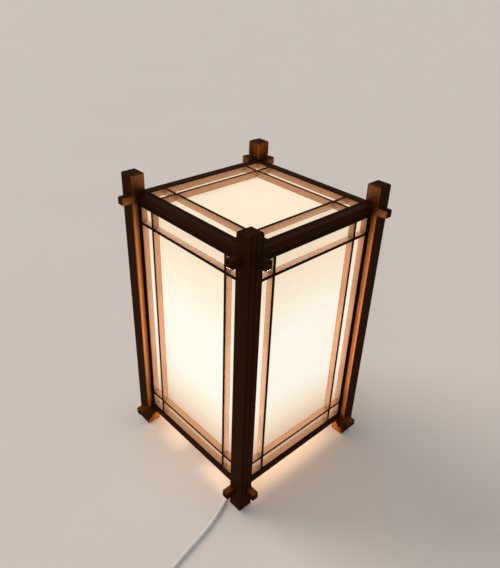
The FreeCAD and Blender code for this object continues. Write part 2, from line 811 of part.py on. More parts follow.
sleeve_heading = Rotation(Z_AXIS, size("sleeve_angle")).multVec(X_AXIS)
sleeve_start = sleeve_heading * size("chamber_radius") + Z_AXIS * (size("board_top") + size("sleeve_height"))
corners = [("0", "0"), ("sleeve_root_radius", "0"), ("sleeve_root_radius", "sleeve_seat")]
groove_count = int(size("sleeve_grooves"))
groove_shares = ((0.4, "0"), (0.5, "sleeve_groove"), (0.9, "sleeve_groove"), (1, "0"))
for k in range(groove_count):
    for share, depth in groove_shares:
        part_way = f"({(k + share) / (groove_count + 1):.4f})"
        radius = f"sleeve_root_radius - (sleeve_root_radius - sleeve_end_radius) * {part_way}"
        corners.append((f"{radius} - {depth}", f"sleeve_seat + sleeve_length * {part_way}"))
corners += [("sleeve_end_radius", "sleeve_seat + sleeve_length"), ("0", "sleeve_seat + sleeve_length")]
sleeve = revolved("cord_sleeve", corners)
sleeve.Placement = Placement(sleeve_start, sleeve_turn)
finished(sleeve)

# lead from the lampholder down under the front crossbar and along the floor to the hand switch

laid = size("cord_radius")
switch_entry_height = size("switch_base_height")
sleeve_end = ahead(sleeve_start, sleeve_heading, number("sleeve_seat + sleeve_length"))
lead_route = [
    sleeve_end,
    ahead(sleeve_end, sleeve_heading, size("lead_first_run")),
    Vector(52, -62, 33),
    Vector(62, -75, 17),
    Vector(72, -89, 5.5),
    Vector(84, -105, laid),
    Vector(96, -130.5, laid),
    Vector(105.5, -156, laid),
    Vector(112, -184, laid),
    Vector(117.5, -212, laid),
    Vector(122, -229, laid),
    Vector(125, -245, switch_entry_height),
    Vector(127.3, -259, switch_entry_height),
]
laid_cord("cord_lead", lead_route)


# Hand switch on the cord, drawn about its middle with its base on Z = 0 and the cord along X

switch_heading = heading_of(lead_route)
switch_angle = math.degrees(math.atan2(switch_heading.y, switch_heading.x))
switch_middle = ahead(lead_route[-1], switch_heading, size("switch_length") / 2)
switch_end = ahead(lead_route[-1], switch_heading, size("switch_length"))
switch_place = Placement(Vector(switch_middle.x, switch_middle.y, 0), Rotation(Z_AXIS, switch_angle))


def on_cord(item, placement):
    item.Placement = placement
    return finished(item)


def switch_half(label, start, height, edge_kind, edge_height, amount):
    """Half of the housing between two heights, its far edges dressed."""
    body = new_body(label)
    end, side = "switch_length / 2", "switch_width / 2"
    nose, waist = "switch_nose_width / 2", "switch_waist / 2"
    corners = [(end, nose), (waist, side), ("-" + waist, side), ("-" + end, nose)]
    corners += [("-" + end, "-" + nose), ("-" + waist, "-" + side), (waist, "-" + side), (end, "-" + nose)]
    form = outline(sketch_on(body, "XY_Plane", label + "_outline", start), corners)
    solid = extrude(body, "Pad", form, height)
    rounded = dress(body, "Fillet", solid, edges_of(solid, along(Z_AXIS)), "switch_corner_round")
    dress(body, edge_kind, rounded, edges_of(rounded, level(Z_AXIS, (edge_height,))), amount)
    return body


def diagonal_pair(sketch, radius):
    for sign in ("-", ""):
        circle(sketch, sign + "switch_screw_x", sign + "switch_screw_y", radius)
    return sketch


base = switch_half("switch_base", "0", "switch_base_height", "Chamfer", 0, "switch_foot_chamfer")
holes = sketch_on(base, "XY_Plane", "base_screw_holes", "switch_base_height")
extrude(base, "Pocket", diagonal_pair(holes, "switch_screw_radius + joint_clearance"), "", through=True)
seats = sketch_on(base, "XY_Plane", "base_screw_seats")
diagonal_pair(seats, "switch_screw_head_radius + joint_clearance")
extrude(base, "Pocket", seats, "switch_screw_recess + switch_screw_head_height", backward=True)
on_cord(base, switch_place)

top = size("switch_height")
cover_span = ("switch_base_height", "switch_cover_height")
cover = switch_half("switch_cover", *cover_span, "Fillet", top, "switch_edge_round")
window = sketch_on(cover, "XY_Plane", "cover_window", "switch_height")
length, width = "(rocker_radius + rocker_clearance)", "(rocker_width / 2 + rocker_clearance)"
rectangle(window, "-" + length, length, "-" + width, width)
extrude(cover, "Pocket", window, "switch_cover_height")
bearing = sketch_on(cover, "XZ_Plane", "cover_bearing")
circle(bearing, "0", "pin_height", "rocker_pin_radius + joint_clearance")
bearing_span = "rocker_width + 2 * rocker_pin_length + 2 * rocker_clearance"
extrude(cover, "Pocket", bearing, bearing_span, symmetric=True)
pilots = sketch_on(cover, "XY_Plane", "cover_pilots", "switch_base_height")
diagonal_pair(pilots, "switch_screw_radius + joint_clearance")
depth = "switch_screw_recess + switch_screw_length + joint_clearance - switch_base_height"
extrude(cover, "Pocket", pilots, depth, backward=True)
on_cord(cover, switch_place)

rocker = new_body("switch_rocker")
form = sketch_on(rocker, "XZ_Plane", "rocker_profile")
swing = math.radians(size("rocker_tilt"))
reach = size("rocker_radius")
crest_angle = swing + math.asin(size("rocker_drop") / reach)
foot_angle = math.asin(size("rocker_depth") / reach)
crest = Vector(reach * math.cos(crest_angle), reach * math.sin(crest_angle), 0)
foot = Vector(reach * math.cos(foot_angle), -size("rocker_depth"), 0)
valley = Vector(0, size("rocker_drop") / math.cos(swing), 0)


def across(spot):
    return Vector(-spot.x, spot.y, 0)


rim = Part.Circle(Vector(), Z_AXIS, reach)
form.addGeometry(Part.LineSegment(valley, crest), False)
form.addGeometry(Part.ArcOfCircle(rim, -foot_angle, crest_angle), False)
form.addGeometry(Part.LineSegment(foot, across(foot)), False)
form.addGeometry(Part.ArcOfCircle(rim, math.pi - crest_angle, math.pi + foot_angle), False)
form.addGeometry(Part.LineSegment(across(crest), valley), False)
for first, first_end, second, second_end in (
    (0, 2, 1, 2),
    (1, 1, 2, 1),
    (2, 2, 3, 2),
    (3, 1, 4, 1),
    (4, 2, 0, 1),
):
    form.addConstraint(Sketcher.Constraint("Coincident", first, first_end, second, second_end))
for edge in (1, 3):
    form.addConstraint(Sketcher.Constraint("Coincident", edge, 3, -1, 1))
    held = form.addConstraint(Sketcher.Constraint("Radius", edge, reach))
    form.setExpression(f"Constraints[{held}]", formula("rocker_radius"))
crest_up = "rocker_radius * sin(rocker_tilt * 1deg + asin(rocker_drop / rocker_radius))"
for edge, end, text, value in (
    (0, 2, crest_up, crest.y),
    (4, 1, crest_up, crest.y),
    (2, 1, "-rocker_depth", foot.y),
    (2, 2, "-rocker_depth", foot.y),
):
    held = form.addConstraint(Sketcher.Constraint("DistanceY", edge, end, value))
    form.setExpression(f"Constraints[{held}]", formula(text))
form.addConstraint(Sketcher.Constraint("PointOnObject", 0, 1, -2))
held = form.addConstraint(Sketcher.Constraint("DistanceY", 0, 1, valley.y))
form.setExpression(f"Constraints[{held}]", formula("rocker_drop / cos(rocker_tilt * 1deg)"))
extrude(rocker, "Pad", form, "rocker_width", symmetric=True)
pins = sketch_on(rocker, "XZ_Plane", "rocker_pins")
circle(pins, "0", "0", "rocker_pin_radius")
extrude(rocker, "Pad", pins, "rocker_width + 2 * rocker_pin_length", symmetric=True)
rocker_place = Placement(Z_AXIS * size("pin_height"), Rotation(Y_AXIS, -size("rocker_tilt")))
on_cord(rocker, switch_place.multiply(rocker_place))

fixings = []
for k, sign in enumerate(("-", "")):
    fixing = revolved(
        f"switch_screw{k}",
        [
            ("0", "0"),
            ("switch_screw_head_radius", "0"),
            ("switch_screw_head_radius", "switch_screw_head_height"),
            ("switch_screw_radius", "switch_screw_head_height"),
            ("switch_screw_radius", "switch_screw_length - switch_screw_radius"),
            ("0", "switch_screw_length"),
        ],
    )
    fixings.append(place(fixing, sign + "switch_screw_x", sign + "switch_screw_y", "switch_screw_recess"))
on_cord(group("switch_screws", fixings), switch_place)

# link from the switch round to the coil

coil_low = size("coil_low")
link_route = [
    switch_end,
    ahead(switch_end, switch_heading, size("link_first_run")),
    Vector(137.9, -339.5, 4.4),
    Vector(134.7, -350, coil_low),
    Vector(131.3, -359.3, coil_low),
]
laid_cord("cord_link", link_route)


# Coil: it winds in on the floor, climbs a layer in the half turn where it reverses and winds out again on
# top. It runs clockwise. Each quarter of a turn is two arcs that meet as tangents.

coil_heading = heading_of(link_route)
coil_start = ahead(link_route[-1], coil_heading, size("cord_diameter"))
start_angle = math.atan2(coil_heading.y, coil_heading.x) + math.pi / 2
coil_arm = Vector(math.cos(start_angle), math.sin(start_angle), 0)
coil_middle = ahead(coil_start, coil_arm, -size("coil_outer_radius"))
coil_middle.z = 0
coil_turns = size("coil_turns")


def coil_spot(turns):
    """Place and heading on the coil after a number of turns."""
    angle = start_angle - 2 * math.pi * turns
    radius = size("coil_inner_radius") + size("coil_pitch") * abs(turns - coil_turns)
    climb = size("coil_climb_turns")
    climbed = min(max((turns - coil_turns) / climb + 0.5, 0), 1)
    height = coil_low + (size("coil_high") - coil_low) * (1 - math.cos(math.pi * climbed)) / 2
    rise = (size("coil_high") - coil_low) * math.pi * math.sin(math.pi * climbed) / 2 / climb
    out = Vector(math.cos(angle), math.sin(angle), 0)
    onward = Vector(out.y, -out.x, 0)
    growth = (turns > coil_turns) - (turns < coil_turns)
    if turns in (0, 2 * coil_turns):
        growth = 0
    heading = onward * 2 * math.pi * radius + out * growth * size("coil_pitch") + Z_AXIS * rise
    return coil_middle + out * radius + Z_AXIS * height, heading.normalize()


def two_arcs(start, start_heading, end, end_heading):
    span = end - start
    both = start_heading + end_heading
    spread = 2 * (1 - start_heading.dot(end_heading))
    leg = (math.sqrt(span.dot(both) ** 2 + spread * span.dot(span)) - span.dot(both)) / spread
    first = ahead(start, start_heading, leg)
    second = ahead(end, end_heading, -leg)
    joint = (first + second) / 2
    pair = []
    for here, corner, there in ((start, first, joint), (joint, second, end)):
        half_turn = (corner - here).getAngle(there - corner) / 2
        pair.append(arc_between(here, corner, there, leg / math.tan(half_turn)))
    return pair


def least_gap(edges):
    """Least distance of the cord's surface from itself, on points along its middle line."""
    step = size("cord_radius") / 2
    spots = []
    for edge in edges:
        spots += edge.discretize(Distance=step)[:-1]
    near = int(math.pi * size("cord_diameter") / step)
    pairs = ((here, there) for k, here in enumerate(spots) for there in spots[k + near :])
    return min((there - here).Length for here, there in pairs) - size("cord_diameter")


quarters = int(2 * coil_turns * 4)
stops = [coil_spot(k / 4) for k in range(quarters + 1)]
coil_edges = [Part.LineSegment(link_route[-1], coil_start).toShape()]
for (start, start_heading), (end, end_heading) in zip(stops, stops[1:]):
    coil_edges += two_arcs(start, start_heading, end, end_heading)
coil_end, end_heading = stops[-1]
coil_exit = ahead(coil_end, end_heading, size("cord_diameter"))
coil_edges.append(Part.LineSegment(coil_end, coil_exit).toShape())
tube("cord_coil", coil_edges)
print(f"cord_coil least gap to itself {least_gap(coil_edges):.2f} mm")

# strap round the coil's turns, drawn along the arm from the coil's middle, with its foot on the floor


def strap_form(name, spread, width, corner_round):
    """A rounded bar that takes in all turns with the clearance and is drawn out by a spread."""
    body = new_body(name)
    reach = f"cord_radius + tie_clearance + {spread}"
    inner, outer = f"coil_inner_radius - ({reach})", f"coil_outer_radius + {reach}"
    section = sketch_on(body, "XZ_Plane", name + "_outline")
    rectangle(section, inner, outer, f"coil_low - ({reach})", f"coil_high + {reach}")
    bar = extrude(body, "Pad", section, width, symmetric=True)
    dress(body, "Fillet", bar, edges_of(bar, along(Y_AXIS)), corner_round)
    return body


wrapped = strap_form("strap_outside", "tie_thickness", "tie_width", "tie_corner_round + tie_thickness")
held_space = strap_form("strap_inside", "0", "tie_width + 2 * cut_overrun", "tie_corner_round")
strap = cut("cord_tie", wrapped, [held_space])
on_cord(strap, Placement(coil_middle, Rotation(Z_AXIS, size("tie_angle"))))


# tail from the coil's top layer to the plug

plug_middle = size("plug_middle")
tail_route = [
    coil_exit,
    ahead(coil_exit, end_heading, size("tail_first_run")),
    Vector(122.3, -390.5, plug_middle),
    Vector(122, -401.5, plug_middle),
]
laid_cord("cord_tail", tail_route)

# Plug, drawn with the cord's end at its origin and the blades along X

plug_heading = heading_of(tail_route)
plug_angle = math.degrees(math.atan2(plug_heading.y, plug_heading.x))
plug_place = Placement(tail_route[-1], Rotation(Z_AXIS, plug_angle))
plug = new_body("plug_body")
form = sketch_on(plug, "XY_Plane", "plug_outline")
rear, face = "nose_length", "(nose_length + plug_length)"
half, grip = "(plug_width / 2)", "(plug_width / 2 - plug_grip_depth)"
grip_start = "(nose_length + plug_length / 2 - plug_grip_length / 2)"
grip_end = "(nose_length + plug_length / 2 + plug_grip_length / 2)"
side = [(rear, half), (grip_start, half), (grip_start + " + plug_grip_depth", grip)]
side += [(grip_end + " - plug_grip_depth", grip), (grip_end, half), (face, half)]
outline(form, side + [(x, "-" + y) for x, y in reversed(side)])
block_form = extrude(plug, "Pad", form, "plug_height", symmetric=True)
behind, front = number(rear), number(face)


def outer_edge(edge):
    """An upright edge at the block's rear or face."""
    return along(Z_AXIS)(edge) and (level(X_AXIS, (behind,))(edge) or level(X_AXIS, (front,))(edge))


outer_edges = edges_of(block_form, outer_edge)
rounded = dress(plug, "Fillet", block_form, outer_edges, "plug_edge_round")
nose = sketch_on(plug, "XY_Plane", "plug_nose")
outline(
    nose,
    [
        ("0", "0"),
        ("0", "nose_end_radius"),
        ("nose_length", "nose_root_radius"),
        ("nose_length + plug_length / 2", "nose_root_radius"),
        ("nose_length + plug_length / 2", "0"),
    ],
)
turn(plug, nose, axis="H_Axis")
slots = sketch_on(plug, "XY_Plane", "blade_slots")
for sign in ("-", ""):
    near = f"{sign}blade_pitch / 2 - blade_thickness / 2 - joint_clearance"
    far = f"{sign}blade_pitch / 2 + blade_thickness / 2 + joint_clearance"
    rectangle(slots, f"{face} - blade_seat - joint_clearance", f"{face} + cut_overrun", near, far)
extrude(plug, "Pocket", slots, "blade_width + 2 * joint_clearance", symmetric=True)
on_cord(plug, plug_place)

blades = []
for k, sign in enumerate(("-", "")):
    blade = new_body(f"plug_blade{k}")
    form = sketch_on(blade, "XZ_Plane", f"blade{k}_outline")
    half, tip_end = "(blade_width / 2)", f"({face} + blade_length)"
    corners = [(f"{face} - blade_seat", half), (f"{tip_end} - blade_tip_chamfer", half)]
    corners += [(tip_end, f"{half} - blade_tip_chamfer"), (tip_end, f"blade_tip_chamfer - {half}")]
    corners += [(f"{tip_end} - blade_tip_chamfer", f"-{half}"), (f"{face} - blade_seat", f"-{half}")]
    outline(form, corners)
    circle(form, f"{tip_end} - blade_hole_inset", "0", "blade_hole_radius")
    extrude(blade, "Pad", form, "blade_thickness", symmetric=True)
    blades.append(place(blade, "0", sign + "blade_pitch / 2", "0"))
on_cord(group("plug_blades", blades), plug_place)


# Every object is tested before any file is written.

doc.recompute()
for item in doc.Objects:
    if "Invalid" in item.State or "Error" in item.State:
        raise SystemExit(f"{item.Label} has failed")
for node in nodes:
    if node.Shape.isNull() or not node.Shape.isValid():
        raise SystemExit(f"{node.Label} has no valid shape")

os.makedirs("parts", exist_ok=True)
for node in nodes:
    node.Shape.exportStep(f"parts/{node.Label}.step")
print(len(nodes), "nodes written")
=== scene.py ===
import math

import bmesh
import bpy
from mathutils import Matrix, Vector


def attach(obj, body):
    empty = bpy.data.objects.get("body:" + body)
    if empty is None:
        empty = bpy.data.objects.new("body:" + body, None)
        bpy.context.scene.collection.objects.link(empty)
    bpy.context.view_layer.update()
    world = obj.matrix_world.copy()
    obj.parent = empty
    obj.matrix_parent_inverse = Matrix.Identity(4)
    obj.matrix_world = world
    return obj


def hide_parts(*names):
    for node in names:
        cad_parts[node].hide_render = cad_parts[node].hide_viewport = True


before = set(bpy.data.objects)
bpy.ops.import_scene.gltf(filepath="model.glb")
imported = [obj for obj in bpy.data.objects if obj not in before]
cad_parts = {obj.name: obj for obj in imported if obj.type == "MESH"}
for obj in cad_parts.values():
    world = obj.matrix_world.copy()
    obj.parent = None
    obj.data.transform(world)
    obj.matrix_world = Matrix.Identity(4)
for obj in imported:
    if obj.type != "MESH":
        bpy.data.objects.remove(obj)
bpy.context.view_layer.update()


# Camera, floor and studio light. The lantern stands on a plain pale floor and is seen from above the corner of
# its front and right sides. Blender works in metres, while sizes and places here are in millimetres, times MM.

MM = 0.001


def srgb(text):
    """A colour given as sRGB hex, in the linear values that the shaders use, and solid."""
    parts = [int(text[k:k + 2], 16) / 255 for k in (0, 2, 4)]
    return [c / 12.92 if c <= 0.04045 else ((c + 0.055) / 1.055) ** 2.4 for c in parts] + [1.0]


def add_node(tree, kind, inputs=(), **settings):
    """Adds a node with its settings. Inputs pair a socket's name or number with a value or a link."""
    made = tree.nodes.new(kind)
    for key, value in settings.items():
        setattr(made, key, value)
    for key, value in dict(inputs).items():
        if isinstance(value, bpy.types.NodeSocket):
            tree.links.new(value, made.inputs[key])
        else:
            made.inputs[key].default_value = value
    return made


def new_material(name):
    """A material with an empty node tree, and that tree."""
    material = bpy.data.materials.new(name)
    material.use_nodes = True
    tree = material.node_tree
    tree.nodes.clear()
    return material, tree


scene = bpy.context.scene
scene.view_settings.view_transform = "Standard"

camera_place = (464.043, -447.732, 642.549)
camera_right = (0.67702337, 0.7351524, 0.03450083)
camera_up = (-0.40010624, 0.32831407, 0.85564295)
camera_ahead = (-0.61770086, 0.59309427, -0.51641536)
lens_mm, picture_height_mm = 35.7532, 36
floor_half, sight_end, lamp_height = 20, 60, 3    # in metres

camera_data = bpy.data.cameras.new("camera")
camera_data.sensor_fit = "VERTICAL"
camera_data.sensor_height = picture_height_mm
camera_data.lens = lens_mm
camera_data.clip_end = sight_end
camera = bpy.data.objects.new("camera", camera_data)
camera_axes = Matrix([Vector(camera_right), Vector(camera_up), -Vector(camera_ahead)]).transposed()
camera.matrix_world = Matrix.Translation(Vector(camera_place) * MM) @ camera_axes.to_4x4()
scene.collection.objects.link(camera)
scene.camera = camera

# matt painted board: an even pale grey, faintly clouded by the roller and without gloss
board_cloud_mm = 333.3
material, tree = new_material("matt_painted_board")
place = add_node(tree, "ShaderNodeTexCoord").outputs["Object"]
cloud = add_node(tree, "ShaderNodeTexNoise", {
    "Vector": place, "Scale": 1 / (board_cloud_mm * MM), "Detail": 3.0,
})
tint = add_node(tree, "ShaderNodeMix", {
    0: cloud.outputs["Fac"], 6: srgb("CFC6BE"), 7: srgb("D4CBC3"),
}, data_type="RGBA")
surface = add_node(tree, "ShaderNodeBsdfPrincipled", {"Base Color": tint.outputs[2], "Roughness": 0.85})
add_node(tree, "ShaderNodeOutputMaterial", {"Surface": surface.outputs["BSDF"]})
mesh = bpy.data.meshes.new("floor")
corners = [(x * floor_half, y * floor_half, 0) for x, y in ((-1, -1), (1, -1), (1, 1), (-1, 1))]
mesh.from_pydata(corners, [], [(0, 1, 2, 3)])
mesh.materials.append(material)
floor = bpy.data.objects.new("floor", mesh)
scene.collection.objects.link(floor)

# a plain sky lights the lantern, and the camera, gloss and glass see a pale wall in its place
world = bpy.data.worlds.new("studio")
world.use_nodes = True
tree = world.node_tree
tree.nodes.clear()
sky = add_node(tree, "ShaderNodeBackground", {"Color": srgb("E9EAEC"), "Strength": 0.62})
wall = add_node(tree, "ShaderNodeBackground", {"Color": srgb("CCC5BE"), "Strength": 1.0})
ray = add_node(tree, "ShaderNodeLightPath").outputs
mirrored = add_node(tree, "ShaderNodeMath", {
    0: ray["Is Camera Ray"], 1: ray["Is Glossy Ray"],
}, operation="MAXIMUM")
seen = add_node(tree, "ShaderNodeMath", {
    0: mirrored.outputs[0], 1: ray["Is Transmission Ray"],
}, operation="MAXIMUM")
both = add_node(tree, "ShaderNodeMixShader", {0: seen.outputs[0], 1: sky.outputs[0], 2: wall.outputs[0]})
add_node(tree, "ShaderNodeOutputWorld", {"Surface": both.outputs[0]})
scene.world = world


def hang_lamp(data, colour, power, place, ahead):
    """Hangs a lamp that shines along a direction and isn't seen itself."""
    data.energy = power
    data.color = srgb(colour)[:3]
    lamp = bpy.data.objects.new(data.name, data)
    turned = Vector(ahead).to_track_quat("-Z", "Y").to_matrix().to_4x4()
    lamp.matrix_world = Matrix.Translation(Vector(place)) @ turned
    lamp.visible_camera = False
    scene.collection.objects.link(lamp)
    return lamp


studio_lamps = (
    ("studio_key", "FFF8F0", 1.7, 40, (1, 0.42, -0.8)),
    ("studio_fill", "F2F6FF", 0.45, 70, (-0.65, 1, -0.75)),
)
for name, colour, power, spread, ahead in studio_lamps:
    data = bpy.data.lights.new(name, "SUN")
    data.angle = math.radians(spread)
    hang_lamp(data, colour, power, (0, 0, lamp_height), ahead)


# Cord: one 5 mm lead in a soft light grey sheath. It leaves the lampholder's sleeve, drops under the front
# crossbar and runs over the floor through the hand switch. Its spare length is wound in a flat coil of two layers,
# held by a strap, and it ends in the plug.

cord_diameter = 5
lead = [
    (28.6, -34.09, 41), (35.67, -42.52, 41), (42.10, -50.18, 41), (52, -62, 33), (62, -75, 17), (72, -89, 5.5),
    (84, -105, 2.5), (96, -130.5, 2.5), (105.5, -156, 2.5), (112, -184, 2.5), (117.5, -212, 2.5), (122, -229, 2.5),
    (125, -245, 5.5), (127.3, -259, 5.5),
]
through_switch = [(129.73, -273.8, 5.5), (132.163, -288.603, 5.5), (134.6, -303.4, 5.5)]
link = [
    (137.027, -318.206, 5.5), (138.648, -328.074, 5.5), (137.9, -339.5, 4.4), (134.7, -350, 3.7),
    (131.3, -359.3, 3.7),
]
tail = [(124.089, -379.023, 9.2), (122.3, -390.5, 8), (122, -401.5, 8), (121.6, -416, 8)]

coil_middle = (92.531, -350.450)
coil_first_angle = math.radians(-20.08)
coil_inner_radius, coil_pitch, coil_turns = 20.2, 5.5, 3.5
coil_low, coil_high = 3.7, 9.2
points_per_turn = 16
outward = 1 / math.cos(math.pi / points_per_turn)    # the curve cuts the corners between its points
coil = []
for k in range(int(2 * coil_turns * points_per_turn) + 1):
    turns = k / points_per_turn
    angle = coil_first_angle - 2 * math.pi * turns
    radius = (coil_inner_radius + coil_pitch * abs(turns - coil_turns)) * outward
    climbed = min(max(2 * (turns - coil_turns) + 0.5, 0), 1)    # to the upper layer, over half a turn
    height = coil_low + (coil_high - coil_low) * (1 - math.cos(math.pi * climbed)) / 2
    across, along = radius * math.cos(angle), radius * math.sin(angle)
    coil.append((coil_middle[0] + across, coil_middle[1] + along, height))

route = lead + through_switch + link + coil + tail
curve = bpy.data.curves.new("cord", "CURVE")
curve.dimensions = "3D"
spline = curve.splines.new("NURBS")
spline.points.add(len(route) - 1)
for point, (x, y, z) in zip(spline.points, route):
    point.co = (x * MM, y * MM, z * MM, 1)
spline.order_u = 3
spline.use_endpoint_u = True
spline.resolution_u = 8
curve.bevel_depth = cord_diameter / 2 * MM
curve.bevel_resolution = 5
curve.use_fill_caps = True
cord = bpy.data.objects.new("cord", curve)
scene.collection.objects.link(cord)

# soft PVC: extruded, so it is matt, with the faintest ripple from the die and slow changes of tone
sheath_grain_mm, sheath_tone_mm = 1.2, 41.67
material, tree = new_material("soft_pvc_sheath")
place = add_node(tree, "ShaderNodeTexCoord").outputs["Object"]
grain = add_node(tree, "ShaderNodeTexNoise", {
    "Vector": place, "Scale": 1 / (sheath_grain_mm * MM), "Detail": 3.0,
})
tone = add_node(tree, "ShaderNodeTexNoise", {"Vector": place, "Scale": 1 / (sheath_tone_mm * MM), "Detail": 2.0})
tint = add_node(tree, "ShaderNodeMix", {
    0: tone.outputs["Fac"], 6: srgb("CCC8C2"), 7: srgb("D8D5CF"),
}, data_type="RGBA")
rough = add_node(tree, "ShaderNodeMapRange", {"Value": grain.outputs["Fac"], "To Min": 0.42, "To Max": 0.58})
relief = add_node(tree, "ShaderNodeBump", {
    "Height": grain.outputs["Fac"], "Strength": 0.25, "Distance": 0.1 * MM,
})
surface = add_node(tree, "ShaderNodeBsdfPrincipled", {
    "Base Color": tint.outputs[2], "Roughness": rough.outputs[0], "IOR": 1.52, "Normal": relief.outputs[0],
})
add_node(tree, "ShaderNodeOutputMaterial", {"Surface": surface.outputs["BSDF"]})
soft_pvc = material
curve.materials.append(soft_pvc)

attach(cord, "root")
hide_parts("cord_lead", "cord_link", "cord_coil", "cord_tail")


# Posts: four square posts of softwood, planed, chamfered on their edges and ends, notched for the crossbars and
# stained dark. They stand on the floor and hold the crossbars, and the grain runs up each of them.

turns_to_grain = {"x": (0, -math.pi / 2, 0), "y": (math.pi / 2, 0, 0), "z": (0, 0, 0)}


def stained_wood(name, axis, early, late, ring_mm, fibre_mm, relief_mm, roughness):
    """Wood with its grain along an axis: growth rings and fibres in 3-D, drawn out along it, and darker ends.

    The fibres are drawn coarser than real ones, so that they show."""
    ring_stretch, fibre_stretch, patch_mm = 0.08, 0.04, 16.67
    ring_weight, fibre_weight, patch_weight = 0.75, 0.5, 0.7
    rings_at_one = 20 / (2 * math.pi)    # rings to a metre that the wave texture draws at a scale of 1
    material, tree = new_material(name)
    coordinates = add_node(tree, "ShaderNodeTexCoord")
    piece = add_node(tree, "ShaderNodeObjectInfo").outputs["Random"]
    moved = add_node(tree, "ShaderNodeVectorMath", {0: coordinates.outputs["Object"], 1: piece}, operation="ADD")
    turned = add_node(tree, "ShaderNodeMapping", {
        "Vector": moved.outputs[0], "Rotation": turns_to_grain[axis],
    })
    drawn = add_node(tree, "ShaderNodeMapping", {
        "Vector": turned.outputs[0], "Scale": (1, 1, ring_stretch),
    })
    rings = add_node(tree, "ShaderNodeTexWave", {
        "Vector": drawn.outputs[0], "Scale": 1 / (ring_mm * MM) / rings_at_one, "Distortion": 3.0,
        "Detail": 2.0, "Detail Scale": 0.35,
    }, wave_type="RINGS", rings_direction="Z", wave_profile="SIN")
    lines = add_node(tree, "ShaderNodeMapRange", {
        "Value": rings.outputs["Fac"], "From Min": 0.35, "To Max": ring_weight,
    })
    long_fibres = add_node(tree, "ShaderNodeMapping", {
        "Vector": turned.outputs[0], "Scale": (1, 1, fibre_stretch),
    })
    fibres = add_node(tree, "ShaderNodeTexNoise", {
        "Vector": long_fibres.outputs[0], "Scale": 1 / (fibre_mm * MM), "Detail": 3.0, "Roughness": 0.6,
    })
    patches = add_node(tree, "ShaderNodeTexNoise", {
        "Vector": drawn.outputs[0], "Scale": 1 / (patch_mm * MM), "Detail": 2.0,
    })
    grain = add_node(tree, "ShaderNodeMath", {
        0: fibres.outputs["Fac"], 1: fibre_weight, 2: lines.outputs[0],
    }, operation="MULTIPLY_ADD")
    shade = add_node(tree, "ShaderNodeMath", {
        0: patches.outputs["Fac"], 1: patch_weight, 2: grain.outputs[0],
    }, operation="MULTIPLY_ADD")
    share = add_node(tree, "ShaderNodeMapRange", {
        "Value": shade.outputs[0], "From Min": 0.3, "From Max": 1.5,
    })
    tint = add_node(tree, "ShaderNodeMix", {
        0: share.outputs[0], 6: srgb(early), 7: srgb(late),
    }, data_type="RGBA")
    facing = add_node(tree, "ShaderNodeVectorMath", {
        0: coordinates.outputs["Normal"], 1: [float(axis == letter) for letter in "xyz"],
    }, operation="DOT_PRODUCT")
    end = add_node(tree, "ShaderNodeMath", {0: facing.outputs["Value"]}, operation="ABSOLUTE")
    end_share = add_node(tree, "ShaderNodeMapRange", {
        "Value": end.outputs[0], "From Min": 0.8, "To Max": 0.45,
    })
    colour = add_node(tree, "ShaderNodeMix", {
        0: end_share.outputs[0], 6: tint.outputs[2], 7: srgb(late),
    }, data_type="RGBA")
    rough = add_node(tree, "ShaderNodeMapRange", {
        "Value": fibres.outputs["Fac"], "To Min": roughness - 0.1, "To Max": roughness + 0.1,
    })
    relief = add_node(tree, "ShaderNodeBump", {
        "Height": grain.outputs[0], "Strength": 0.25, "Distance": relief_mm * MM,
    })
    surface = add_node(tree, "ShaderNodeBsdfPrincipled", {
        "Base Color": colour.outputs[2], "Roughness": rough.outputs[0], "Specular IOR Level": 0.02,
        "Specular Tint": srgb("D99A62"), "IOR": 1.5, "Normal": relief.outputs[0],
    })
    add_node(tree, "ShaderNodeOutputMaterial", {"Surface": surface.outputs["BSDF"]})
    return material


def finish_nodes(material, names):
    """Gives nodes of the CAD a material in every slot."""
    for name in names:
        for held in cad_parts[name].material_slots:
            held.material = material


# stained softwood: the stain soaks in and leaves no film, so it has hardly any gloss, and the hard late-wood lines
# stay darker than the rest
stock = {
    "early": "331904", "late": "180B02", "ring_mm": 3.2, "fibre_mm": 1.3, "relief_mm": 0.15, "roughness": 0.55,
}
post_nodes = ["post_back_right", "post_back_left", "post_front_left", "post_front_right"]
stained_upright = stained_wood("stained_softwood_upright", "z", **stock)
finish_nodes(stained_upright, post_nodes)


# Crossbars: eight bars of the same stained stock, half-lapped where they cross inside the posts, with ends that
# stand out past them. The grain runs along each bar.

stained_across = stained_wood("stained_softwood_across", "x", **stock)
stained_deep = stained_wood("stained_softwood_deep", "y", **stock)
across_bars = [f"{level}_crossbar_{side}" for level in ("bottom", "top") for side in ("front", "back")]
deep_bars = [f"{level}_crossbar_{side}" for level in ("bottom", "top") for side in ("left", "right")]
finish_nodes(stained_across, across_bars)
finish_nodes(stained_deep, deep_bars)


# Lattice panels: four sides and a top, each a frame of thin strips with two uprights and two crosses, stub-tenoned
# into the frame and half-lapped where they cross. The panels are glued between the posts and crossbars.

# stained softwood strip: cut from close-grained wood and sanded, so it is more even than the posts and quite matt
strip = {
    "early": "1F140E", "late": "1C120B", "ring_mm": 1.6, "fibre_mm": 0.9, "relief_mm": 0.01, "roughness": 0.7,
}
strip_upright = stained_wood("stained_strip_upright", "z", **strip)
strip_across = stained_wood("stained_strip_across", "x", **strip)
strip_deep = stained_wood("stained_strip_deep", "y", **strip)
lattice_nodes = []
for side in ("front", "right", "back", "left", "top"):
    standing = [f"{side}_panel_stiles", f"{side}_lattice_uprights"]
    lying = [f"{side}_panel_rails", f"{side}_lattice_crosses"]
    finish_nodes(strip_deep if side == "top" else strip_upright, standing)
    finish_nodes(strip_deep if side in ("left", "right") else strip_across, lying)
    lattice_nodes += standing + lying


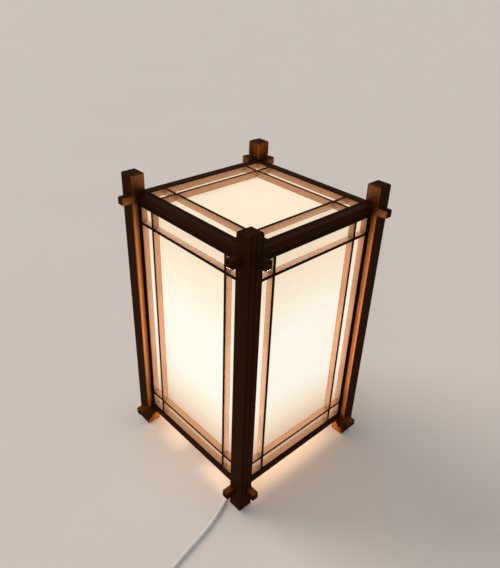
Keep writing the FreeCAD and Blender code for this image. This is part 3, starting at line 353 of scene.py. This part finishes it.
# Paper: one sheet of warm white washi is pasted behind each lattice. The glow is fullest round the middle of a
# side, and falls off to the sheet's top edge and further to its bottom edge.


def lit_washi(name, glow_of):
    """Washi with its own glow, whose colour a function works out from the coordinates."""
    cloud_mm, fibre_mm, fibre_width, fibre_shade = 7, 9, 0.012, -0.03
    material, tree = new_material(name)
    place = add_node(tree, "ShaderNodeTexCoord").outputs["Object"]
    cloud = add_node(tree, "ShaderNodeTexNoise", {"Vector": place, "Scale": 1 / (cloud_mm * MM), "Detail": 4.0})
    wisps = add_node(tree, "ShaderNodeTexNoise", {
        "Vector": place, "Scale": 1 / (fibre_mm * MM), "Detail": 1.0, "Distortion": 1.6,
    })
    near = add_node(tree, "ShaderNodeMath", {0: wisps.outputs["Fac"], 1: 0.5}, operation="SUBTRACT")
    off = add_node(tree, "ShaderNodeMath", {0: near.outputs[0]}, operation="ABSOLUTE")
    fibre = add_node(tree, "ShaderNodeMapRange", {
        "Value": off.outputs[0], "From Max": fibre_width, "To Min": 1, "To Max": 0,
    })
    cloudy = add_node(tree, "ShaderNodeMapRange", {
        "Value": cloud.outputs["Fac"], "From Min": 0.3, "From Max": 0.7, "To Min": 0.955, "To Max": 1.01,
    })
    level = add_node(tree, "ShaderNodeMath", {
        0: fibre.outputs[0], 1: fibre_shade, 2: cloudy.outputs[0],
    }, operation="MULTIPLY_ADD")
    glow = add_node(tree, "ShaderNodeVectorMath", {
        0: glow_of(tree, place), 3: level.outputs[0],
    }, operation="SCALE")
    sheet = add_node(tree, "ShaderNodeMix", {
        0: fibre.outputs[0], 6: srgb("8E887B"), 7: srgb("827B6D"),
    }, data_type="RGBA")
    relief = add_node(tree, "ShaderNodeBump", {
        "Height": cloud.outputs["Fac"], "Strength": 0.3, "Distance": 0.1 * MM,
    })
    surface = add_node(tree, "ShaderNodeBsdfPrincipled", {
        "Base Color": sheet.outputs[2], "Roughness": 0.9, "Specular IOR Level": 0.15, "Normal": relief.outputs[0],
        "Emission Color": glow.outputs[0], "Emission Strength": 0.84,
    })
    add_node(tree, "ShaderNodeOutputMaterial", {"Surface": surface.outputs["BSDF"]})
    return material


def glow_by_height(tree, place):
    """The colour of the glow at each height, in millimetres above the floor."""
    stops = (
        (35, "BE9476"), (68, "DCBBA0"), (97, "F1DEC4"), (125, "FCF1DD"), (150, "FFF9EC"), (240, "FFF9EC"),
        (270, "FCF4E0"), (300, "FAEAD1"), (330, "F6E2C6"), (367, "F1D9BA"),
    )
    low, high = stops[0][0], stops[-1][0]
    height = add_node(tree, "ShaderNodeSeparateXYZ", {0: place}).outputs["Z"]
    share = add_node(tree, "ShaderNodeMapRange", {"Value": height, "From Min": low * MM, "From Max": high * MM})
    ramp = add_node(tree, "ShaderNodeValToRGB", {0: share.outputs[0]})
    held = ramp.color_ramp.elements
    held[0].position, held[1].position = 0, 1
    for spot, text in stops[1:-1]:
        held.new((spot - low) / (high - low)).color = srgb(text)
    held[0].color = srgb(stops[0][1])
    held[len(held) - 1].color = srgb(stops[-1][1])
    return ramp.outputs["Color"]


def glow_from_middle(tree, place):
    """The colour of the glow on the top sheet, a little lighter over the bulb."""
    sheet_height, reach = 369, 130
    off = add_node(tree, "ShaderNodeVectorMath", {0: place, 1: (0, 0, sheet_height * MM)}, operation="DISTANCE")
    share = add_node(tree, "ShaderNodeMapRange", {"Value": off.outputs["Value"], "From Max": reach * MM})
    tint = add_node(tree, "ShaderNodeMix", {
        0: share.outputs[0], 6: srgb("F6E3C8"), 7: srgb("F0D9BC"),
    }, data_type="RGBA")
    return tint.outputs[2]


# washi: hand-laid kozo, so it is matt and cloudy, with a few long fibres that show darker against the light
side_papers = [f"{side}_paper" for side in ("front", "right", "back", "left")]
finish_nodes(lit_washi("washi_upright", glow_by_height), side_papers)
finish_nodes(lit_washi("washi_top", glow_from_middle), ["top_paper"])


# Cross board and dowels: a board of the stained stock lies between the front and back crossbars and carries the
# lampholder. It is held at its ends by four plain dowels, which only show in their holes.

finish_nodes(stained_deep, ["cross_board"])
# beech: turned and left bare, so it is pale, close-grained and smooth
plain_beech = stained_wood(
    "plain_beech", "y", "B98A5C", "8F6237", ring_mm=2.4, fibre_mm=0.8, relief_mm=0.05, roughness=0.6,
)
finish_nodes(plain_beech, ["board_dowels"])


# Lampholder: a black moulded body screwed to the cross board, with a pressed brass shell for the bulb's cap and a
# sprung contact under it. The cord's sleeve goes into its side.


def moulded_plastic(name, one, other, roughness, grain_mm, relief_mm):
    """Moulded plastic: clouded by its flow, with the mould's texture, drawn coarser so that it shows."""
    flow_mm = 14.29
    material, tree = new_material(name)
    place = add_node(tree, "ShaderNodeTexCoord").outputs["Object"]
    flow = add_node(tree, "ShaderNodeTexNoise", {
        "Vector": place, "Scale": 1 / (flow_mm * MM), "Detail": 2.0, "Distortion": 0.8,
    })
    grain = add_node(tree, "ShaderNodeTexNoise", {"Vector": place, "Scale": 1 / (grain_mm * MM), "Detail": 2.0})
    tint = add_node(tree, "ShaderNodeMix", {
        0: flow.outputs["Fac"], 6: srgb(one), 7: srgb(other),
    }, data_type="RGBA")
    rough = add_node(tree, "ShaderNodeMapRange", {
        "Value": grain.outputs["Fac"], "To Min": roughness - 0.06, "To Max": roughness + 0.06,
    })
    relief = add_node(tree, "ShaderNodeBump", {
        "Height": grain.outputs["Fac"], "Strength": 0.4, "Distance": relief_mm * MM,
    })
    surface = add_node(tree, "ShaderNodeBsdfPrincipled", {
        "Base Color": tint.outputs[2], "Roughness": rough.outputs[0], "IOR": 1.53, "Normal": relief.outputs[0],
    })
    add_node(tree, "ShaderNodeOutputMaterial", {"Surface": surface.outputs["BSDF"]})
    return material


def worked_metal(name, bright, dull, roughness, line_mm, drawn):
    """Bare or plated metal with a little tarnish and the lines of its working, drawn out along one axis.

    The lines are drawn coarser than real ones, so that they show."""
    tarnish_mm = 6.25
    material, tree = new_material(name)
    place = add_node(tree, "ShaderNodeTexCoord").outputs["Object"]
    along = add_node(tree, "ShaderNodeMapping", {"Vector": place, "Scale": drawn})
    lines = add_node(tree, "ShaderNodeTexNoise", {
        "Vector": along.outputs[0], "Scale": 1 / (line_mm * MM), "Detail": 2.0,
    })
    tarnish = add_node(tree, "ShaderNodeTexNoise", {
        "Vector": place, "Scale": 1 / (tarnish_mm * MM), "Detail": 3.0,
    })
    share = add_node(tree, "ShaderNodeMapRange", {
        "Value": tarnish.outputs["Fac"], "From Min": 0.4, "From Max": 0.75,
    })
    tint = add_node(tree, "ShaderNodeMix", {
        0: share.outputs[0], 6: srgb(bright), 7: srgb(dull),
    }, data_type="RGBA")
    rough = add_node(tree, "ShaderNodeMapRange", {
        "Value": lines.outputs["Fac"], "To Min": roughness - 0.08, "To Max": roughness + 0.12,
    })
    relief = add_node(tree, "ShaderNodeBump", {
        "Height": lines.outputs["Fac"], "Strength": 0.2, "Distance": 0.05 * MM,
    })
    surface = add_node(tree, "ShaderNodeBsdfPrincipled", {
        "Base Color": tint.outputs[2], "Metallic": 1.0, "Roughness": rough.outputs[0], "Normal": relief.outputs[0],
    })
    add_node(tree, "ShaderNodeOutputMaterial", {"Surface": surface.outputs["BSDF"]})
    return material


# phenolic: compression moulded, near black with a brown cast and a dull gloss
phenolic = moulded_plastic("moulded_phenolic", "1F1B19", "292420", roughness=0.38, grain_mm=0.9, relief_mm=0.05)
finish_nodes(phenolic, ["lampholder_body"])
# brass: deep drawn, so its lines run up the shell
brass = worked_metal("drawn_brass", "D3AE62", "A37F3E", roughness=0.3, line_mm=0.5, drawn=(1, 1, 0.05))
finish_nodes(brass, ["lampholder_shell"])
# phosphor bronze: rolled strip, redder than the brass, with its lines along the strip
bronze = worked_metal("rolled_bronze", "C08F5E", "8E6540", roughness=0.32, line_mm=0.5, drawn=(0.05, 1, 1))
finish_nodes(bronze, ["lampholder_contact"])
finish_nodes(soft_pvc, ["cord_sleeve"])


# Holder screws: two countersunk wood screws of zinc-plated steel with cross recesses. They go down through the
# ends of the holder's plate into the cross board.


def wall_of_rings(shape, rings, closed=False):
    """Joins each ring of points to the next with four-sided faces, and returns the rings' vertices."""
    made = [[shape.verts.new(spot) for spot in ring] for ring in rings]
    for low, high in zip(made, made[1:] + made[:1] if closed else made[1:]):
        for k in range(len(low)):
            shape.faces.new((low[k - 1], low[k], high[k], high[k - 1]))
    return made


def ring_at(height, radius_at, count):
    """A ring of points in millimetres about Z, whose radius may change with the angle."""
    angles = [2 * math.pi * k / count for k in range(count)]
    return [(radius_at(angle) * math.cos(angle), radius_at(angle) * math.sin(angle), height) for angle in angles]


def finished_mesh(name, shape):
    """A mesh in metres from a shape drawn in millimetres, its faces outwards and its corners kept sharp."""
    shape.normal_update()
    bmesh.ops.recalc_face_normals(shape, faces=shape.faces)
    shape.transform(Matrix.Scale(MM, 4))
    mesh = bpy.data.meshes.new(name)
    shape.to_mesh(mesh)
    shape.free()
    mesh.shade_smooth()
    mesh.set_sharp_from_angle(angle=math.radians(32))
    return mesh


def screw_mesh(name, head, head_height, head_foot, shank, length, pitch):
    """A screw with its head's top on Z = 0: cross recess, head, a rolled thread and a point."""
    shape = bmesh.new()
    count, thread_depth, steps_per_turn = 20, 0.22 * shank, 6
    recess, half_arm, depth, floor_share = 0.62 * head, 0.16 * head, 0.75 * head_height, 0.55
    rounding, blunt, neck = 0.12 * head_height, 0.12, 0.1

    def cross(share, height):
        corner = [(recess * share, -half_arm * share), (recess * share, half_arm * share), (half_arm * share,) * 2]
        spots = []
        for along, aside in ((1, 0), (0, 1), (-1, 0), (0, -1)):
            spots += [(x * along - y * aside, x * aside + y * along, height) for x, y in corner]
        return spots

    def threaded(height):
        taper = min(1, (length + height) / (2 * shank) + blunt)

        def radius(angle):
            turn = (height / pitch + angle / (2 * math.pi)) % 1
            return (shank - thread_depth * min(1, 3 * abs(turn - 0.5))) * taper

        return ring_at(height, radius, count)

    rings = [ring_at(0, lambda angle: head - rounding, count), ring_at(-rounding, lambda angle: head, count)]
    rings.append(ring_at(-head_height, lambda angle: head_foot, count))
    thread_top = -head_height - neck
    turns = (length + thread_top) / pitch
    step = (length + thread_top) / int(turns * steps_per_turn)
    rings += [threaded(thread_top - step * k) for k in range(int(turns * steps_per_turn) + 1)]
    made = wall_of_rings(shape, rings)
    shape.faces.new(made[-1])
    recess_rings = wall_of_rings(shape, [cross(1, 0), cross(floor_share, -depth)])
    for loops in ([made[0], recess_rings[0]], [recess_rings[1]]):
        edges = [shape.edges.get((loop[k - 1], loop[k])) for loop in loops for k in range(len(loop))]
        bmesh.ops.triangle_fill(shape, use_beauty=True, edges=edges)
    return finished_mesh(name, shape)


# one piece set at equal steps along a line, all of it turned and finished alike
row_tree = bpy.data.node_groups.new("pieces_in_a_row", "GeometryNodeTree")
row_inputs = (
    ("Piece", "NodeSocketObject"), ("First", "NodeSocketVector"), ("Step", "NodeSocketVector"),
    ("Count", "NodeSocketInt"), ("Turn", "NodeSocketVector"), ("Finish", "NodeSocketMaterial"),
)
row_sockets = {}
for label, kind in row_inputs:
    row_sockets[label] = row_tree.interface.new_socket(label, in_out="INPUT", socket_type=kind).identifier
row_tree.interface.new_socket("Row", in_out="OUTPUT", socket_type="NodeSocketGeometry")
asked = add_node(row_tree, "NodeGroupInput").outputs
spots = add_node(row_tree, "GeometryNodeMeshLine", {
    "Count": asked["Count"], "Start Location": asked["First"], "Offset": asked["Step"],
}, mode="OFFSET")
copied = add_node(row_tree, "GeometryNodeObjectInfo", {"Object": asked["Piece"]})
turned = add_node(row_tree, "FunctionNodeEulerToRotation", {0: asked["Turn"]})
laid = add_node(row_tree, "GeometryNodeInstanceOnPoints", {
    "Points": spots.outputs[0], "Instance": copied.outputs["Geometry"], "Rotation": turned.outputs[0],
})
joined = add_node(row_tree, "GeometryNodeRealizeInstances", {0: laid.outputs[0]})
finished = add_node(row_tree, "GeometryNodeSetMaterial", {
    "Geometry": joined.outputs[0], "Material": asked["Finish"],
})
add_node(row_tree, "NodeGroupOutput", {0: finished.outputs[0]})


def row_of(name, mesh, material, first, step, count, turn=(0, 0, 0)):
    """A row of one mesh as a single plain piece. Its first place and step are in millimetres."""
    pattern = bpy.data.objects.new(name + "_pattern", mesh)
    scene.collection.objects.link(pattern)
    piece = bpy.data.objects.new(name, bpy.data.meshes.new(name))
    modifier = piece.modifiers.new("row", "NODES")
    modifier.node_group = row_tree
    for label, value in (
        ("Piece", pattern), ("First", [v * MM for v in first]), ("Step", [v * MM for v in step]),
        ("Count", count), ("Turn", list(turn)), ("Finish", material),
    ):
        modifier[row_sockets[label]] = value
    scene.collection.objects.link(piece)
    view = bpy.context.evaluated_depsgraph_get()
    plain = bpy.data.meshes.new_from_object(piece.evaluated_get(view))
    piece.modifiers.remove(modifier)
    piece.data = plain
    bpy.data.objects.remove(pattern)
    return piece


# zinc-plated steel: bright, a little blue, with a faint haze that runs no way
evenly = (1, 1, 1)
zinc_plate = worked_metal("zinc_plated_steel", "B9BCC0", "94979B", roughness=0.34, line_mm=0.6, drawn=evenly)
plate_top, screws_apart = 42, 50
holder_screw = screw_mesh(
    "holder_screw", head=3.3, head_height=1.8, head_foot=1.7, shank=1.7, length=16, pitch=1.5,
)
holder_screws = row_of(
    "holder_screws", holder_screw, zinc_plate, (0, -screws_apart / 2, plate_top), (0, screws_apart, 0), 2,
)
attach(holder_screws, "root")
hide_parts("lampholder_screws")


# Bulb: a blown glass envelope, etched inside so that it glows all over, on a screw cap of nickel-plated brass with
# a black glass insulator and a soldered contact. It turns with the joint bulb_turn.

bulb_middle, glow_low, glow_high, etch_mm = 140.05, 88, 130, 0.8

# soda glass: etched inside, so it is satin and glows evenly, and warmer down by the cap
material, tree = new_material("etched_soda_glass")
place = add_node(tree, "ShaderNodeTexCoord").outputs["Object"]
etch = add_node(tree, "ShaderNodeTexNoise", {"Vector": place, "Scale": 1 / (etch_mm * MM), "Detail": 3.0})
height = add_node(tree, "ShaderNodeSeparateXYZ", {0: place}).outputs["Z"]
share = add_node(tree, "ShaderNodeMapRange", {
    "Value": height, "From Min": glow_low * MM, "From Max": glow_high * MM,
})
glow = add_node(tree, "ShaderNodeMix", {
    0: share.outputs[0], 6: srgb("E8B784"), 7: srgb("FFF0D6"),
}, data_type="RGBA")
relief = add_node(tree, "ShaderNodeBump", {
    "Height": etch.outputs["Fac"], "Strength": 0.2, "Distance": 0.05 * MM,
})
surface = add_node(tree, "ShaderNodeBsdfPrincipled", {
    "Base Color": srgb("DDD8CC"), "Roughness": 0.45, "IOR": 1.52, "Normal": relief.outputs[0],
    "Emission Color": glow.outputs[2], "Emission Strength": 0.95,
})
add_node(tree, "ShaderNodeOutputMaterial", {"Surface": surface.outputs["BSDF"]})
finish_nodes(material, ["bulb_envelope"])
# solder: a dull tin-grey bead, melted on
solder = worked_metal("soldered_tin", "AEB0B0", "87898A", roughness=0.5, line_mm=1.0, drawn=evenly)
finish_nodes(solder, ["bulb_tip"])

cap_foot, cap_top, cap_crest, cap_wall, foot_curve, foot_round = 63.05, 88.05, 13.15, 0.4, 1.2, 0.25
thread_pitch, thread_start, thread_end, thread_wave, thread_fade = 3.63, 65.2, 79.2, 0.36, 1.2
insulator_edge, ring_count = 9.6, 48


def cap_radius(height):
    """The rolled thread's radius at each angle: a round wave that dies out at both of its ends."""
    fade = max(0, min(1, (height - thread_start) / thread_fade, (thread_end - height) / thread_fade))

    def radius(angle):
        wave = math.cos(2 * math.pi * height / thread_pitch - angle)
        return cap_crest - thread_wave * fade * (1 - wave)

    return radius


def plain_ring(height, radius):
    return ring_at(height, lambda angle: radius, ring_count)


# the outside from the foot up, then the inside back down
skirt_low, skirt_step, most_steps, above_thread, inside_foot = 1.3, 0.45, 36, thread_end + 0.4, cap_foot + 1
heights = [cap_foot + skirt_low + skirt_step * k for k in range(most_steps)]
outer = [(height, cap_radius(height)) for height in heights if height < thread_end]
rings = [plain_ring(cap_foot, insulator_edge), plain_ring(cap_foot, cap_crest - foot_curve)]
rings.append(plain_ring(cap_foot + foot_curve / 2, cap_crest - foot_round))
rings += [ring_at(height, radius, ring_count) for height, radius in outer]
rings += [plain_ring(above_thread, cap_crest), plain_ring(cap_top, cap_crest)]
rings += [plain_ring(cap_top, cap_crest - cap_wall), plain_ring(above_thread, cap_crest - cap_wall)]
for height, radius in reversed(outer):
    rings.append(ring_at(height, lambda angle, at=radius: at(angle) - cap_wall, ring_count))
rings += [plain_ring(inside_foot, cap_crest - foot_curve), plain_ring(cap_foot + cap_wall, insulator_edge)]
shape = bmesh.new()
wall_of_rings(shape, rings, closed=True)
cap = bpy.data.objects.new("bulb_screw_cap", finished_mesh("bulb_screw_cap", shape))
# nickel plate on brass: rolled thin, bright and a little warm
nickel_cap = worked_metal("nickel_plated_cap", "CFCBC2", "A8A49A", roughness=0.28, line_mm=0.6, drawn=evenly)
cap.data.materials.append(nickel_cap)
scene.collection.objects.link(cap)

# radius, and height over the cap's foot
section = [(4.85, 0), (4.85, 0.5), (9.55, 0.5), (9.55, 0), (8.6, -0.5), (7.2, -0.9), (5.6, -0.7)]
shape = bmesh.new()
wall_of_rings(shape, [plain_ring(cap_foot + height, radius) for radius, height in section], closed=True)
insulator = bpy.data.objects.new("bulb_insulator", finished_mesh("bulb_insulator", shape))
# black glass: pressed hot, so it is glossy and a little uneven
black_glass = moulded_plastic(
    "pressed_black_glass", "121214", "1B1B1E", roughness=0.16, grain_mm=1.2, relief_mm=0.03,
)
insulator.data.materials.append(black_glass)
scene.collection.objects.link(insulator)
for piece, slot in ((cap, "cap_metal"), (insulator, "bulb_glass")):
    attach(piece, "bulb")
    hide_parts("bulb_cap")


# Hand switch: two moulded halves screwed together from below, with a rocker on pins in the upper one. The cord
# runs through it, and the rocker tips with the joint rocker_tilt.

# ABS: moulded against spark-eroded tools, so both halves are matt, finely grained and not quite one tone
cover_abs = moulded_plastic(
    "moulded_abs_cover", "CFCBC3", "C9C5BD", roughness=0.48, grain_mm=0.5, relief_mm=0.06,
)
base_abs = moulded_plastic("moulded_abs_base", "C2BEB5", "BBB7AE", roughness=0.5, grain_mm=0.5, relief_mm=0.06)
# ABS: moulded against a polished tool, so the rocker is a shade lighter and smoother
rocker_abs = moulded_plastic(
    "polished_abs_rocker", "DEDAD2", "D8D4CC", roughness=0.26, grain_mm=1.0, relief_mm=0.02,
)
for material, name in ((cover_abs, "switch_cover"), (base_abs, "switch_base"), (rocker_abs, "switch_rocker")):
    finish_nodes(material, [name])

switch_angle, screw_from_middle, screw_sunk = math.radians(-80.6705), (21, 5.5, 0), 0.5
between_screws = Vector((*through_switch[1][:2], screw_sunk))
screw_spot = Matrix.Rotation(switch_angle, 3, "Z") @ Vector(screw_from_middle)
switch_screw = screw_mesh(
    "switch_screw", head=2.4, head_height=1.6, head_foot=2.4, shank=1.2, length=10, pitch=1.1,
)
heads_down = (math.pi, 0, 0)
switch_screws = row_of(
    "switch_screw_pair", switch_screw, zinc_plate, between_screws - screw_spot, 2 * screw_spot, 2, heads_down,
)
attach(switch_screws, "root")
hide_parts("switch_screws")


# Strap: a narrow tape of black nylon goes once round the coil, a little slack, and holds its turns together. Its
# weave is drawn coarser than a real one, so that it shows.

tie_thread_mm = 0.7
tie_turn = math.radians(80)

# nylon tape: woven plain from twisted threads, so it is matt with a soft sheen and a fine check
material, tree = new_material("woven_nylon_tape")
place = add_node(tree, "ShaderNodeTexCoord").outputs["Object"]
laid = add_node(tree, "ShaderNodeMapping", {"Vector": place, "Rotation": (0, 0, -tie_turn)})
spot = add_node(tree, "ShaderNodeSeparateXYZ", {0: laid.outputs[0]}).outputs
run = add_node(tree, "ShaderNodeMath", {0: spot["X"], 1: spot["Z"]}, operation="ADD")
waves = []
for way in (run.outputs[0], spot["Y"]):
    phase = add_node(tree, "ShaderNodeMath", {0: way, 1: math.pi / (tie_thread_mm * MM)}, operation="MULTIPLY")
    waves.append(add_node(tree, "ShaderNodeMath", {0: phase.outputs[0]}, operation="SINE").outputs[0])
woven = add_node(tree, "ShaderNodeMath", {0: waves[0], 1: waves[1]}, operation="MULTIPLY")
share = add_node(tree, "ShaderNodeMapRange", {"Value": woven.outputs[0], "From Min": -1, "From Max": 1})
tint = add_node(tree, "ShaderNodeMix", {
    0: share.outputs[0], 6: srgb("17171A"), 7: srgb("34343A"),
}, data_type="RGBA")
relief = add_node(tree, "ShaderNodeBump", {"Height": share.outputs[0], "Strength": 0.7, "Distance": 0.2 * MM})
surface = add_node(tree, "ShaderNodeBsdfPrincipled", {
    "Base Color": tint.outputs[2], "Roughness": 0.7, "Sheen Weight": 0.3, "Normal": relief.outputs[0],
})
add_node(tree, "ShaderNodeOutputMaterial", {"Surface": surface.outputs["BSDF"]})
finish_nodes(material, ["cord_tie"])


# Plug: moulded onto the cord in firmer PVC, a shade darker, with two folded blades of nickel-plated brass and
# ribbed grips in the hollows of its sides.

before_plug, plug_origin = tail[1:3]
plug_angle = math.atan2(plug_origin[1] - before_plug[1], plug_origin[0] - before_plug[0])
grip_middle, grip_face, rib_pitch, rib_count = 36, 11.7, 2.2, 5
rib_half_width, rib_proud, rib_sunk, rib_half_height = 0.6, 0.65, 0.4, 5.8
rib_end, rib_end_share, arc_steps = 0.4, 0.45, 8

# PVC: injection moulded, a little firmer and glossier than the sheath
plug_pvc = moulded_plastic("moulded_pvc", "C4C0BA", "CCC8C2", roughness=0.42, grain_mm=0.8, relief_mm=0.05)
finish_nodes(plug_pvc, ["plug_body"])
# nickel plate on brass: the blades are bright, with faint lines along them from the plugging in
nickel_blade = worked_metal(
    "nickel_plated_brass", "CDC6B4", "A9A08C", roughness=0.25, line_mm=0.5, drawn=(1, 0.05, 1),
)
finish_nodes(nickel_blade, ["plug_blades"])

shape = bmesh.new()
rib_shoulder = rib_half_height - rib_end
rib_levels = (
    (-rib_half_height, rib_end_share), (-rib_shoulder, 1), (rib_shoulder, 1), (rib_half_height, rib_end_share),
)
for side in (-1, 1):
    rings = []
    for height, share in rib_levels:
        section = [(-rib_half_width * share, -rib_sunk)]
        for k in range(arc_steps + 1):
            swing = math.pi * (1 - k / arc_steps)
            section.append((rib_half_width * share * math.cos(swing), rib_proud * share * math.sin(swing)))
        section.append((rib_half_width * share, -rib_sunk))
        rings.append([(x, side * (grip_face + y), height) for x, y in section])
    first, *_, last = wall_of_rings(shape, rings)
    shape.faces.new(first)
    shape.faces.new(last)
rib_pair = finished_mesh("rib_pair", shape)
heading = Vector((math.cos(plug_angle), math.sin(plug_angle), 0))
first_rib = Vector(plug_origin) + heading * (grip_middle - rib_pitch * (rib_count - 1) / 2)
plug_ribs = row_of(
    "plug_grip_ribs", rib_pair, plug_pvc, first_rib, heading * rib_pitch, rib_count, (0, 0, plug_angle),
)
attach(plug_ribs, "root")


# The lantern's own light. The paper is far brighter than a picture can hold, so lamps just before each sheet light
# the strips, bars and posts next to it, and lamps inside shine out under the bars onto feet and floor.

lit_wood = bpy.data.collections.new("lit_wood")
wood_over_bars = bpy.data.collections.new("wood_over_bars")
low_wood = bpy.data.collections.new("low_wood")
for name in post_nodes + across_bars + deep_bars + lattice_nodes + ["cross_board"]:
    lit_wood.objects.link(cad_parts[name])
    if not name.startswith("bottom_crossbar"):
        wood_over_bars.objects.link(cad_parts[name])
    if name in post_nodes or name.startswith(("bottom_crossbar", "cross_board")):
        low_wood.objects.link(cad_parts[name])

# one lamp to an opening of the lattice and three to a tall one: edges in millimetres, watts per square decimetre
sheet_face, top_face, top_strength, square_decimetre = 97.4, 369.4, 2.1, 1e4
columns = (("left", -90, -70), ("middle", -66, 66), ("right", 70, 90))
rows = (
    ("foot", 40, 60, 2.3), ("low", 64, 130, 2.8), ("middle", 130, 240, 3.5), ("high", 240, 338, 2.9),
    ("head", 342, 362, 2.1),
)
sides = {
    "front": Vector((0, -1, 0)), "right": Vector((1, 0, 0)), "back": Vector((0, 1, 0)), "left": Vector((-1, 0, 0)),
}


def sheet_lamp(name, colour, power, width, height, place, ahead):
    """A flat lamp, in millimetres, that shines along a direction."""
    data = bpy.data.lights.new(name, "AREA")
    data.shape = "RECTANGLE"
    data.size, data.size_y = width * MM, height * MM
    return hang_lamp(data, colour, power, Vector(place) * MM, ahead)


for column, left, right in columns:
    width, middle = right - left, (left + right) / 2
    for side, ahead in sides.items():
        across = Vector((-ahead.y, ahead.x, 0))
        for row, low, high, strength in rows:
            spot = sheet_face * ahead + middle * across + Vector((0, 0, (low + high) / 2))
            power = strength * width * (high - low) / square_decimetre
            lamp = sheet_lamp(f"glow_{side}_{column}_{row}", "FFE8C8", power, width, high - low, spot, ahead)
            # the two low rows leave out the bottom crossbars, whose ends would be too bright so near to a lamp
            lamp.light_linking.receiver_collection = wood_over_bars if row in ("foot", "low") else lit_wood
    for row, low, high in columns:
        power = top_strength * width * (high - low) / square_decimetre
        spot = (middle, (low + high) / 2, top_face)
        lamp = sheet_lamp(f"glow_top_{column}_{row}", "FFE8C8", power, width, high - low, spot, (0, 0, 1))
        lamp.light_linking.receiver_collection = lit_wood

# the lamps inside the lantern don't light the bulb, which glows by its own material
all_but_bulb = bpy.data.collections.new("all_but_bulb")
for piece in (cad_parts["bulb_envelope"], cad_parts["bulb_tip"], cap, insulator):
    all_but_bulb.objects.link(piece)
for held in all_but_bulb.collection_objects:
    held.light_linking.link_state = "EXCLUDE"

# inside, the sheets throw the light back, and it spreads over the floor under the bars
inner_face, inner_width, inner_low, inner_high, inner_power = 96, 186, 50, 120, 0.12
for side, ahead in sides.items():
    spot = inner_face * ahead + Vector((0, 0, (inner_low + inner_high) / 2))
    lamp = sheet_lamp(
        f"inner_glow_{side}", "FFC896", inner_power, inner_width, inner_high - inner_low, spot, -ahead,
    )
    lamp.light_linking.receiver_collection = all_but_bulb

# the bulb, half as wide again as its glass so that the glass doesn't shade it, and once more for the dark wood
bulb_glow_radius = 45
bulb_glows = (("bulb_glow", "FFE0BC", 0.65, all_but_bulb), ("bulb_glow_on_wood", "FFDAA2", 85, low_wood))
for name, colour, power, receivers in bulb_glows:
    data = bpy.data.lights.new(name, "POINT")
    data.use_soft_falloff = False
    data.shadow_soft_size = bulb_glow_radius * MM
    lamp = hang_lamp(data, colour, power, (0, 0, bulb_middle * MM), (0, 0, -1))
    lamp.light_linking.receiver_collection = receivers
